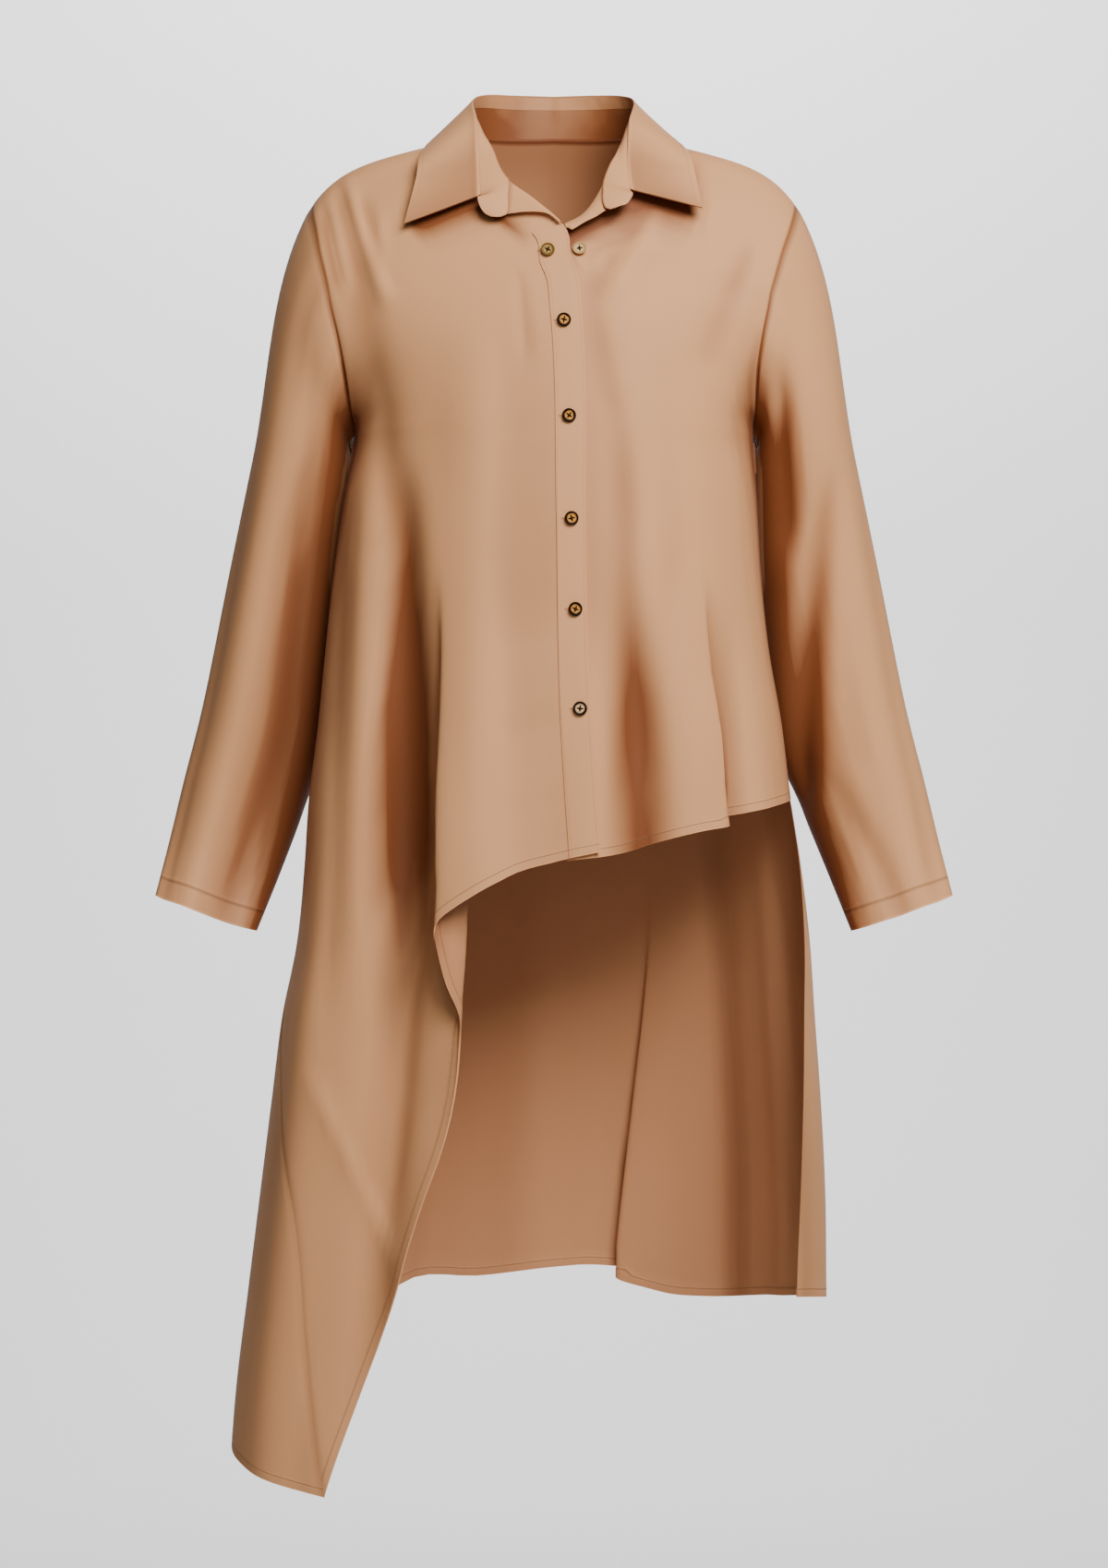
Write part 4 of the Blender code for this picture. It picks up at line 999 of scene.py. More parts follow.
def painted_shade_map(grid, normals, closed=False):
    """Painted shade for each point, outside and inside, from 0 in the open to 1: how far the cloth near it shuts
    it in, and how deep it sinks in a fold.
    """
    if "cloth" not in MADE:
        coarse = [made[::2, ::2] for made in garment()[0].values()]
        MADE["cloth"] = merged_tree(coarse + [stand_grid(), leaf_grid()])
    tree = MADE["cloth"]
    flat = wide(grid) if closed else grid
    out = wide(normals) if closed else normals
    rows, cols = (np.unique(np.append(np.arange(0, size, 2), size - 1)) for size in flat.shape[:2])
    points = flat[np.ix_(rows, cols)].reshape(-1, 3)
    facing = out[np.ix_(rows, cols)].reshape(-1, 3)
    aside = unit(np.cross(facing, (0.31, 0.17, 0.93)))
    above = np.cross(facing, aside)
    both = []
    for sign in (1, -1):
        total = np.zeros(len(points))
        for ray in range(SHADE_RAYS):
            turn = GOLDEN_TURN * ray
            reach = math.sqrt((ray + 0.5) / SHADE_RAYS)
            way = aside * (reach * math.cos(turn)) + above * (reach * math.sin(turn))
            way = way + facing * (sign * math.sqrt(1 - reach * reach))
            starts = points + facing * (SHADE_RAY_LIFT * sign)
            for k, (start, along) in enumerate(zip(starts.tolist(), way.tolist())):
                met = tree.ray_cast(start, along, SHADE_REACH)[3]
                if met is not None:
                    total[k] += 1 - (met / SHADE_REACH) ** 2
        total = (total / SHADE_RAYS).reshape(len(rows), len(cols))
        for _ in range(2):
            total = (np.roll(total, 1, 0) + 2 * total + np.roll(total, -1, 0)) / 4
            total[[0, -1]] = total[[1, -2]]
        down = np.array([np.interp(np.arange(flat.shape[0]), rows, total[:, c]) for c in range(len(cols))]).T
        both.append(np.array([np.interp(np.arange(flat.shape[1]), cols, line) for line in down]))
    depth = sunken(flat, out, 16.0 if closed else 46.0) * (SINK_SHADE * (2.0 if closed else 1.0))
    if not closed:
        depth += sunken(flat, out, 13.0) * CREASE_SHADE
    for _ in range(3):
        depth[1:-1] = (depth[:-2] + 2 * depth[1:-1] + depth[2:]) / 4
    outside = both[0] + np.clip(depth, -0.05, 0.5)
    return np.clip(np.stack([outside, both[1] * INSIDE_SHADE_SHARE + np.clip(-depth, 0, 0.2)], -1), 0, 1)


def cloth_object(name, outer, normals, thick, material, band=None, closed=False):
    """Finished piece of cloth: a thin shell under its grid, thicker where its hem is turned up.
    band is the hem's depth, or None for a piece with no hem."""
    # Painted shade: darker near other cloth and in folds, and along the seams
    painted_shade = painted_shade_map(outer, normals, closed)
    for i, j in MADE["seams"].get(name.replace("shirt_", ""), ()):
        painted_shade[i, j] += SEAM_SHADE if outer[i, j, 2] > ARMPIT_Z - 5 else SIDE_SHADE
        if closed and j == 0:
            painted_shade[i, -1] += SEAM_SHADE
    maps = {"cut": cut_map(outer, closed), "fold": painted_shade}
    depth = np.full(outer.shape[:2], thick)
    if band:
        if closed:
            spread = lengths(wide(outer), 1)
            away = lengths(outer, 0)
            away = away[-1:] - away
            hem = np.stack([spread, wide(away[..., None])[..., 0] / band], -1)
        else:
            along, away = from_line(outer, outer[-1])
            hem = np.stack([along, away / band], -1)
        maps["hem"] = hem
        depth = depth + thick * (1 - ease((away - band + 1) / 2))
    points, faces, places = shell(outer, outer - normals * depth[..., None], closed)
    item = mesh_object(name, points, faces, places, maps)
    item.data.materials.append(material)
    return item


def dress(item, node):
    """The piece rides on the shirt's body and stands for its node."""
    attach(item, "root")
    if node:
        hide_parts(node)
    return item


# ---------------------------------------------------------------- materials
class Nodes:
    """Builds one material: adds nodes with their settings, and sets or links their sockets."""

    def __init__(self, name):
        self.material = bpy.data.materials.new(name)
        self.material.use_nodes = True
        self.tree = self.material.node_tree
        self.shader = self.tree.nodes["Principled BSDF"]

    def feed(self, sockets, values):
        """Sets each socket to its value, or links it where the value is another node's output."""
        for key, value in values.items():
            if isinstance(value, bpy.types.NodeSocket):
                self.tree.links.new(value, sockets[key])
            else:
                sockets[key].default_value = value

    def add(self, kind, sockets=None, **settings):
        node = self.tree.nodes.new(kind)
        for name, value in settings.items():
            setattr(node, name, value)
        self.feed(node.inputs, sockets or {})
        return node

    def math(self, what, first, second=None):
        sockets = {0: first} if second is None else {0: first, 1: second}
        return self.add("ShaderNodeMath", sockets, operation=what).outputs[0]

    def place(self):
        return self.add("ShaderNodeTexCoord").outputs["Object"]

    def layer(self, name):
        """One of the piece's own maps: the whole of it, then its two values."""
        whole = self.add("ShaderNodeUVMap", uv_map=name).outputs["UV"]
        parts = self.add("ShaderNodeSeparateXYZ", {0: whole}).outputs
        return whole, parts[0], parts[1]

    def noise(self, vector, scale, detail=2.0):
        return self.add("ShaderNodeTexNoise", {"Vector": vector, "Scale": scale, "Detail": detail}).outputs["Fac"]

    def stretched(self, vector, scale):
        return self.add("ShaderNodeMapping", {"Vector": vector, "Scale": scale}).outputs[0]

    def blend(self, share, first, second, how="MIX"):
        sockets = {0: share, 6: first, 7: second}
        return self.add("ShaderNodeMix", sockets, data_type="RGBA", blend_type=how).outputs[2]

    def between(self, value, limits, how="LINEAR"):
        """A value moved from one range to another."""
        sockets = {0: value, **dict(enumerate(limits, start=1))}
        return self.add("ShaderNodeMapRange", sockets, interpolation_type=how).outputs[0]

    def ramp(self, value, *stops):
        """Colour by value, from one position and colour to the next."""
        node = self.add("ShaderNodeValToRGB", {"Fac": value})
        for element, (position, colour) in zip(node.color_ramp.elements, stops):
            element.position = position
            element.color = (*colour, 1)
        return node.outputs[0]

    def finish(self, height=None, strength=0.0, distance=MM, **values):
        """Sets the shader's sockets, and its relief where there is one."""
        self.feed(self.shader.inputs, {key.replace("_", " "): value for key, value in values.items()})
        if height:
            bump = self.add("ShaderNodeBump", {"Height": height, "Strength": strength, "Distance": distance})
            self.feed(self.shader.inputs, {"Normal": bump.outputs[0]})
        return self.material


def tinted(colour, share):
    return (*[min(c * share, 1) for c in colour], 1)


def turned_hem(n, height, colour):
    """Adds the turned-up band to a cloth's height and colour: its step, the stitches' groove, ripples. In the
    colour, a painted highlight along the edge and painted shade in the groove.
    """
    whole, _, share = n.layer("hem")
    off = n.math("DIVIDE", n.math("SUBTRACT", share, 0.86), 0.07)
    groove = n.math("POWER", 2.718, n.math("MULTIPLY", n.math("MULTIPLY", off, off), -1.0))
    near = n.between(share, (0.9, 2.4, 0.5, 0.0), "SMOOTHSTEP")
    ripple = n.math("MULTIPLY", n.noise(n.stretched(whole, (1.0, 1.2, 1.0)), 0.22), near)
    band = n.between(share, (0.92, 1.1, 0.5, 0.0), "SMOOTHSTEP")
    fold = n.math("SUBTRACT", band, n.math("MULTIPLY", groove, 0.35))
    # Painted highlight that brightens the band's edge, and painted shade in the stitches' groove
    edge = n.between(share, (0.0, 0.10, 0.40, 0.0))
    painted_edge_light_and_groove_shade = n.math("SUBTRACT", n.math("ADD", edge, 1.0), n.math("MULTIPLY", groove, 0.34))
    return n.math("ADD", height, n.math("ADD", fold, ripple)), n.blend(1.0, colour, painted_edge_light_and_groove_shade, "MULTIPLY")


def cloth_material(name, look, hemmed):
    """Smooth twill with a soft sheen: fine weave, faint slubs and, where hemmed, the turned-up band. Painted
    shade darkens its colour in hollows, at seams, near other cloth and on the inner face.
    """
    n = Nodes(name)
    place = n.place()
    cut, across, down = n.layer("cut")
    # The fold layer: painted shade, and a flag that is 1 on the inner face
    _, painted_shade, inner_face_shade_mask = n.layer("fold")
    colour = n.blend(n.noise(place, 5.0, 3.0), tinted(look.colour, 0.94), tinted(look.colour, 1.05))
    # Painted shade: the inner face is darkened by the inside tint
    colour = n.blend(inner_face_shade_mask, colour, (*look.inside, 1), "MULTIPLY")
    # Painted shade: darker towards the hollows colour in folds, at seams and near other cloth
    painted_shade_tint = n.ramp(painted_shade, (0.0, (1, 1, 1)), (0.40, look.painted_shade_colour))
    colour = n.blend(1.0, colour, painted_shade_tint, "MULTIPLY")
    twill = n.math("ADD", n.math("MULTIPLY", across, look.threads), n.math("MULTIPLY", down, look.threads))
    weave = n.math("MULTIPLY", n.math("SINE", twill), 0.012)
    slub = n.math("MULTIPLY", n.noise(n.stretched(cut, (1.6, 0.25, 1.0)), 0.35, 4.0), 0.05)
    soft = n.math("MULTIPLY", n.noise(place, 26.0), 0.25)
    height = n.math("ADD", n.math("ADD", weave, slub), soft)
    if hemmed:
        height, colour = turned_hem(n, height, colour)
    return n.finish(
        height, 0.6, MM, Base_Color=colour, Roughness=look.roughness, Specular_IOR_Level=0.2,
        Sheen_Weight=look.sheen, Sheen_Roughness=0.45, Sheen_Tint=(1.0, 0.86, 0.74, 1),
    )


def thread_material(name, colour):
    """Twisted sewing thread."""
    n = Nodes(name)
    twist = n.add("ShaderNodeTexWave", {"Vector": n.place(), "Scale": 900.0}, bands_direction="DIAGONAL")
    shade = n.blend(twist.outputs["Fac"], tinted(colour, 0.75), tinted(colour, 1.0))
    return n.finish(Base_Color=shade, Roughness=0.7, Specular_IOR_Level=0.1)


def horn_material(name, rim, face):
    """Horn: a dark rim round an amber face, with streaks; the map holds the share of the radius."""
    n = Nodes(name)
    streak = n.noise(n.place(), 260.0, 5.0)
    shift = n.math("MULTIPLY", n.math("SUBTRACT", streak, 0.5), 0.35)
    colour = n.ramp(n.math("ADD", n.layer("face")[1], shift), (0.50, face), (0.72, rim))
    return n.finish(streak, 0.15, 0.2 * MM, Base_Color=colour, Roughness=0.5, Specular_IOR_Level=0.06)


def backdrop_material(name, colour):
    """Plain pale paper."""
    n = Nodes(name)
    shade = n.blend(n.noise(n.place(), 1.5), tinted(colour, 0.985), tinted(colour, 1.0))
    return n.finish(Base_Color=shade, Roughness=0.9)


def finish_for(kind):
    """A named finish, made the first time that a piece asks for it."""
    cloth = bpy.context.scene.shirt_cloth
    trim = bpy.context.scene.shirt_buttons
    made = bpy.data.materials.get(kind)
    if made:
        return made
    if kind == "shirting_hemmed":
        return cloth_material(kind, cloth, True)
    if kind == "shirting":
        return cloth_material(kind, cloth, False)
    if kind == "thread_tan":
        return thread_material(kind, [c * 0.9 for c in cloth.colour])
    if kind == "thread_brown":
        return thread_material(kind, (0.03, 0.012, 0.006))
    rim, face = {
        "horn_dark": (trim.rim_colour, trim.face_colour),
        "horn_olive": ((0.16, 0.085, 0.02), (0.42, 0.25, 0.07)),
        "horn_pale": ((0.50, 0.29, 0.11), trim.pale_colour),
        "horn_ringed": (trim.rim_colour, trim.pale_colour),
    }[kind]
    return horn_material(kind, rim, face)


# ---------------------------------------------------------------- stitches
def socket_in(tree, name, kind, value):
    made = tree.interface.new_socket(name=name, in_out="INPUT", socket_type=kind)
    made.default_value = value
    return made.identifier


def stitch_tree(name, material, turned):
    """Geometry Nodes tree that lays short stitches along the edges it is given."""
    tree = bpy.data.node_groups.new(name, "GeometryNodeTree")
    tree.interface.new_socket(name="Geometry", in_out="INPUT", socket_type="NodeSocketGeometry")
    tree.interface.new_socket(name="Geometry", in_out="OUTPUT", socket_type="NodeSocketGeometry")
    pitch = socket_in(tree, "Pitch", "NodeSocketFloat", 3.0 * MM)
    size = socket_in(tree, "Stitch Length", "NodeSocketFloat", 2.4 * MM)
    thread = socket_in(tree, "Thread Radius", "NodeSocketFloat", 0.16 * MM)
    enter = tree.nodes.new("NodeGroupInput")
    leave = tree.nodes.new("NodeGroupOutput")
    curve = tree.nodes.new("GeometryNodeMeshToCurve")
    spaced = tree.nodes.new("GeometryNodeResampleCurve")
    spaced.mode = "LENGTH"
    tangent = tree.nodes.new("GeometryNodeInputTangent")
    align = tree.nodes.new("FunctionNodeAlignRotationToVector")
    align.axis = "Y" if turned else "X"
    ball = tree.nodes.new("GeometryNodeMeshUVSphere")
    ball.inputs["Segments"].default_value = 6
    ball.inputs["Rings"].default_value = 4
    ball.inputs["Radius"].default_value = 1.0
    half = tree.nodes.new("ShaderNodeMath")
    half.operation = "MULTIPLY"
    half.inputs[1].default_value = 0.5
    shape = tree.nodes.new("ShaderNodeCombineXYZ")
    lay = tree.nodes.new("GeometryNodeInstanceOnPoints")
    real = tree.nodes.new("GeometryNodeRealizeInstances")
    paint = tree.nodes.new("GeometryNodeSetMaterial")
    paint.inputs["Material"].default_value = material
    for out, into in (
        (enter.outputs["Geometry"], curve.inputs[0]), (curve.outputs[0], spaced.inputs["Curve"]),
        (enter.outputs["Pitch"], spaced.inputs["Length"]), (spaced.outputs[0], lay.inputs["Points"]),
        (tangent.outputs[0], align.inputs["Vector"]), (align.outputs[0], lay.inputs["Rotation"]),
        (ball.outputs["Mesh"], lay.inputs["Instance"]), (enter.outputs["Stitch Length"], half.inputs[0]),
        (half.outputs[0], shape.inputs[0]), (enter.outputs["Thread Radius"], shape.inputs[1]),
        (enter.outputs["Thread Radius"], shape.inputs[2]), (shape.outputs[0], lay.inputs["Scale"]),
        (lay.outputs[0], real.inputs[0]), (real.outputs[0], paint.inputs[0]),
        (paint.outputs[0], leave.inputs[0]),
    ):
        tree.links.new(out, into)
    return tree, (pitch, size, thread)


def sew(name, lines, finish="thread_tan", pitch=None, size=None, turned=False):
    """Rows of stitches along lines of points (mm), as one plain mesh."""
    kit = bpy.context.scene.shirt_stitching
    points = []
    edges = []
    for line in lines:
        first = len(points)
        points += [tuple(p) for p in np.asarray(line) * MM]
        edges += [(first + k, first + k + 1) for k in range(len(line) - 1)]
    guide = bpy.data.meshes.new(name + "_guide")
    guide.from_pydata(points, edges, [])
    item = bpy.data.objects.new(name + "_guide", guide)
    bpy.context.scene.collection.objects.link(item)
    tree, keys = stitch_tree(name + "_stitches", finish_for(finish), turned)
    live = item.modifiers.new("stitches", "NODES")
    live.node_group = tree
    for key, value in zip(keys, (pitch or kit.pitch, size or kit.length, kit.thread)):
        live[key] = value
    ready = item.evaluated_get(bpy.context.evaluated_depsgraph_get())
    mesh = bpy.data.meshes.new_from_object(ready)
    mesh.shade_smooth()
    item.modifiers.remove(live)
    bpy.data.objects.remove(item, do_unlink=True)
    made = bpy.data.objects.new(name, mesh)
    bpy.context.scene.collection.objects.link(made)
    return dress(made, None)


def beside_edge(grid, normals, inset, lift):
    """Line on the cloth a fixed way in from the hem, and lifted off it."""
    edge = grid[-1]
    up = unit(grid[-4] - edge)
    along = unit(np.gradient(edge, axis=0))
    inward = np.cross(normals[-1], along)
    inward = inward * np.sign(np.sum(inward * up, axis=1, keepdims=True))
    tree = merged_tree([grid])
    line = []
    for point in edge + inward * inset:
        hit = tree.find_nearest(Vector(point))[0]
        nearest = np.argmin(((grid[-40:] - np.array(hit)) ** 2).sum(-1))
        line.append(np.array(hit) + normals[-40:].reshape(-1, 3)[nearest] * lift)
    return np.array(line)


def across_at(grid, normals, inset, lift):
    """Line down a grid a fixed way in from its first column."""
    along = lengths(grid, 1)
    line = []
    for row in range(len(grid)):
        point = [np.interp(inset, along[row], grid[row, :, k]) for k in range(3)]
        normal = [np.interp(inset, along[row], normals[row, :, k]) for k in range(3)]
        line.append(np.array(point) + np.array(normal) * lift)
    return np.array(line)


# ---------------------------------------------------------------- buttons
def surface_at(grid, normals, x, z):
    """Point of a front's grid at a place seen from the front, and its normal."""
    off = ((grid[..., 0] - x) ** 2 + (grid[..., 2] - z) ** 2).ravel()
    near = np.argsort(off)[:4]
    share = 1 / (off[near] + 0.5)
    share = share / share.sum()
    normal = unit((normals.reshape(-1, 3)[near] * share[:, None]).sum(0))
    base = (grid.reshape(-1, 3)[near] * share[:, None]).sum(0)
    y = base[1] - (normal[0] * (x - base[0]) + normal[2] * (z - base[2])) / normal[1]
    return np.array([x, y, z]), normal


def lathe(profile, sides):
    """Points and faces of a closed turned form; the profile runs from axis to axis (mm)."""
    points = [(0.0, 0.0, profile[0][1]), (0.0, 0.0, profile[-1][1])]
    ring_points = profile[1:-1]
    for radius, height in ring_points:
        for k in range(sides):
            turn = 2 * math.pi * k / sides
            points.append((radius * math.cos(turn), radius * math.sin(turn), height))
    faces = []
    last = 2 + (len(ring_points) - 1) * sides
    for k in range(sides):
        m = (k + 1) % sides
        faces.append((0, 2 + m, 2 + k))
        faces.append((1, last + k, last + m))
        for level in range(len(ring_points) - 1):
            low = 2 + level * sides
            faces.append((low + k, low + m, low + sides + m, low + sides + k))
    return points, faces


def drilled_button(name, kit):
    """Horn button: a rounded rim, a dished face and four holes right through."""
    r = kit.radius / MM
    t = kit.thickness / MM
    profile = (
        (0, 0), (r * 0.55, 0), (r * 0.84, 0.12), (r * 0.97, 0.5), (r, t * 0.55), (r * 0.985, t * 0.85),
        (r * 0.92, t), (r * 0.83, t * 0.98), (r * 0.76, t * 0.8), (r * 0.68, t * 0.68), (r * 0.4, t * 0.62),
        (0, t * 0.6),
    )
    points, faces = lathe(profile, 40)
    mesh = bpy.data.meshes.new(name)
    mesh.from_pydata([tuple(c * MM for c in p) for p in points], [], faces)
    body = bpy.data.objects.new(name, mesh)
    bpy.context.scene.collection.objects.link(body)
    drill_points = []
    drill_faces = []
    for sx in (-1, 1):
        for sy in (-1, 1):
            first = len(drill_points)
            hole, hole_faces = lathe(((0, -1), (0.72, -1), (0.72, 4), (0, 4)), 12)
            aside, above = sx * kit.hole_offset, sy * kit.hole_offset
            drill_points += [(x * MM + aside, y * MM + above, z * MM) for x, y, z in hole]
            drill_faces += [tuple(first + k for k in face) for face in hole_faces]
    tool = bpy.data.objects.new(name + "_drill", bpy.data.meshes.new(name + "_drill"))
    tool.data.from_pydata(drill_points, [], drill_faces)
    bpy.context.scene.collection.objects.link(tool)
    cut = body.modifiers.new("holes", "BOOLEAN")
    cut.operation = "DIFFERENCE"
    cut.solver = "EXACT"
    cut.object = tool
    ready = bpy.data.meshes.new_from_object(body.evaluated_get(bpy.context.evaluated_depsgraph_get()))
    bpy.data.objects.remove(body, do_unlink=True)
    bpy.data.objects.remove(tool, do_unlink=True)
    layer = ready.uv_layers.new(name="face")
    for loop in ready.loops:
        at = ready.vertices[loop.vertex_index].co
        layer.data[loop.index].uv = (at.xy.length / kit.radius, at.z / kit.thickness)
    ready.shade_smooth()
    ready.set_sharp_from_angle(angle=math.radians(40))
    return ready


def place_matrix(place, normal, turn, tilt):
    """Matrix that lays a form on the cloth, turned about its own axis and tipped a little."""
    facing = Vector([float(c) for c in normal]).to_track_quat("Z", "Y").to_matrix().to_4x4()
    return (
        Matrix.Translation([float(c) * MM for c in place]) @ facing
        @ Matrix.Rotation(math.radians(tilt), 4, "Y") @ Matrix.Rotation(math.radians(turn), 4, "Z")
    )


def arc_tube(start, end, rise, radius, steps=8, sides=6):
    """A thread's tube over an arc from one hole to another (mm): points and faces."""
    run = np.asarray(end) - np.asarray(start)
    side = unit(np.cross(run, (0, 0, 1.0)))
    points = []
    faces = []
    for s in range(steps + 1):
        t = s / steps
        mid = np.asarray(start) + run * t + np.array([0, 0, rise * math.sin(math.pi * t)])
        for k in range(sides):
            turn = 2 * math.pi * k / sides
            up = np.array([0, 0, 1.0])
            points.append(mid + side * radius * math.cos(turn) + up * radius * math.sin(turn))
    for s in range(steps):
        for k in range(sides):
            m = (k + 1) % sides
            faces.append((s * sides + k, s * sides + m, (s + 1) * sides + m, (s + 1) * sides + k))
    faces.append(tuple(range(sides)))
    faces.append(tuple(reversed(range(steps * sides, (steps + 1) * sides))))
    return points, faces


def button_thread(kit):
    """Two crossed threads through the four holes."""
    h = kit.hole_offset / MM
    top = kit.thickness / MM * 0.45
    points = []
    faces = []
    for start, end in (((-h, -h, top), (h, h, top)), ((-h, h, top), (h, -h, top))):
        for shift in (-0.26, 0.26):
            first = len(points)
            off = np.array([shift, -shift * math.copysign(1, start[1] * start[0]), 0])
            tube, tube_faces = arc_tube(np.array(start) + off, np.array(end) + off, 1.15, 0.32)
            points += tube
            faces += [tuple(first + k for k in face) for face in tube_faces]
    mesh = bpy.data.meshes.new("button_thread")
    mesh.from_pydata([tuple(float(c) * MM for c in p) for p in points], [], faces)
    mesh.update()
    mesh.shade_smooth()
    return mesh


# ---------------------------------------------------------------- what a user may change
class ShirtCloth(bpy.types.PropertyGroup):
    """The cloth and its hems."""

    wall: bpy.props.FloatProperty(
        name="Cloth", description="Thickness of one layer", default=0.7 * MM, unit="LENGTH",
    )
    trim: bpy.props.FloatProperty(
        name="Trim", description="Thickness of placket and facings", default=0.8 * MM, unit="LENGTH",
    )
    collar: bpy.props.FloatProperty(
        name="Collar", description="Thickness of the interlined collar",
        default=1.3 * MM, unit="LENGTH",
    )
    hem: bpy.props.FloatProperty(
        name="Hem", description="Depth of the narrow hem", default=HEM_BAND * MM, unit="LENGTH",
    )
    cuff: bpy.props.FloatProperty(
        name="Cuff hem", description="Depth of the sleeve hems",
        default=CUFF_BAND * MM, unit="LENGTH",
    )
    threads: bpy.props.FloatProperty(
        name="Weave", description="Twill lines, in radians a millimetre", default=9.0,
    )
    roughness: bpy.props.FloatProperty(
        name="Roughness", description="Roughness of the cloth", default=0.6, subtype="FACTOR",
    )
    sheen: bpy.props.FloatProperty(
        name="Sheen", description="Weight of the soft sheen", default=0.04, subtype="FACTOR",
    )
    colour: bpy.props.FloatVectorProperty(
        name="Colour", description="Colour of the cloth",
        default=(0.72, 0.345, 0.152), subtype="COLOR", size=3,
    )
    # Painted shade: this tint darkens the cloth's inner face
    inside: bpy.props.FloatVectorProperty(
        name="Inside", description="Tint on the cloth's wrong side",
        default=(0.83, 0.78, 0.80), subtype="COLOR", size=3,
    )
    # Painted shade: colour that the deepest shade in folds, at seams and near other cloth tends to
    painted_shade_colour: bpy.props.FloatVectorProperty(
        name="Hollows", description="Tint in the folds' hollows",
        default=(0.30, 0.18, 0.12), subtype="COLOR", size=3,
    )


class ShirtStitching(bpy.types.PropertyGroup):
    """The rows of stitches."""

    pitch: bpy.props.FloatProperty(
        name="Pitch", description="From one stitch to the next", default=2.6 * MM, unit="LENGTH",
    )
    length: bpy.props.FloatProperty(
        name="Stitch", description="Length of one stitch", default=2.1 * MM, unit="LENGTH",
    )
    thread: bpy.props.FloatProperty(
        name="Thread", description="Radius of the thread", default=0.15 * MM, unit="LENGTH",
    )
    inset: bpy.props.FloatProperty(
        name="Inset", description="From an edge to its topstitching",
        default=1.8 * MM, unit="LENGTH",
    )


class ShirtButtons(bpy.types.PropertyGroup):
    """The buttons."""

    radius: bpy.props.FloatProperty(
        name="Radius", description="Radius of a button", default=5.8 * MM, unit="LENGTH",
    )
    thickness: bpy.props.FloatProperty(
        name="Thickness", description="Height of the rim", default=2.1 * MM, unit="LENGTH",
    )
    hole_offset: bpy.props.FloatProperty(
        name="Holes", description="From the centre to the holes' rows",
        default=1.5 * MM, unit="LENGTH",
    )
    rim_colour: bpy.props.FloatVectorProperty(
        name="Rim", description="Colour of the rim",
        default=(0.010, 0.004, 0.002), subtype="COLOR", size=3,
    )
    face_colour: bpy.props.FloatVectorProperty(
        name="Face", description="Colour of the face",
        default=(0.62, 0.27, 0.05), subtype="COLOR", size=3,
    )
    pale_colour: bpy.props.FloatVectorProperty(
        name="Pale face", description="Colour of the palest face",
        default=(0.74, 0.48, 0.24), subtype="COLOR", size=3,
    )


class ShirtStudio(bpy.types.PropertyGroup):
    """The studio."""

    key_power: bpy.props.FloatProperty(
        name="Key light", description="Power of the key light", default=123.0, unit="POWER",
    )
    fill_power: bpy.props.FloatProperty(
        name="Fill light", description="Power of the fill light", default=9.0, unit="POWER",
    )
    fill_colour: bpy.props.FloatVectorProperty(
        name="Fill colour", description="Colour of the fill light",
        default=(1.0, 0.82, 0.68), subtype="COLOR", size=3,
    )
    surround: bpy.props.FloatProperty(
        name="Surround", description="Strength of the even light all round", default=0.045,
    )
    wash_power: bpy.props.FloatProperty(
        name="Wall light", description="Power of the light on the backdrop",
        default=570.0, unit="POWER",
    )
    floor_z: bpy.props.FloatProperty(
        name="Floor", description="Height of the floor", default=-1.98, unit="LENGTH",
    )
    backdrop: bpy.props.FloatVectorProperty(
        name="Backdrop", description="Colour of floor and wall",
        default=(0.78, 0.78, 0.785), subtype="COLOR", size=3,
    )


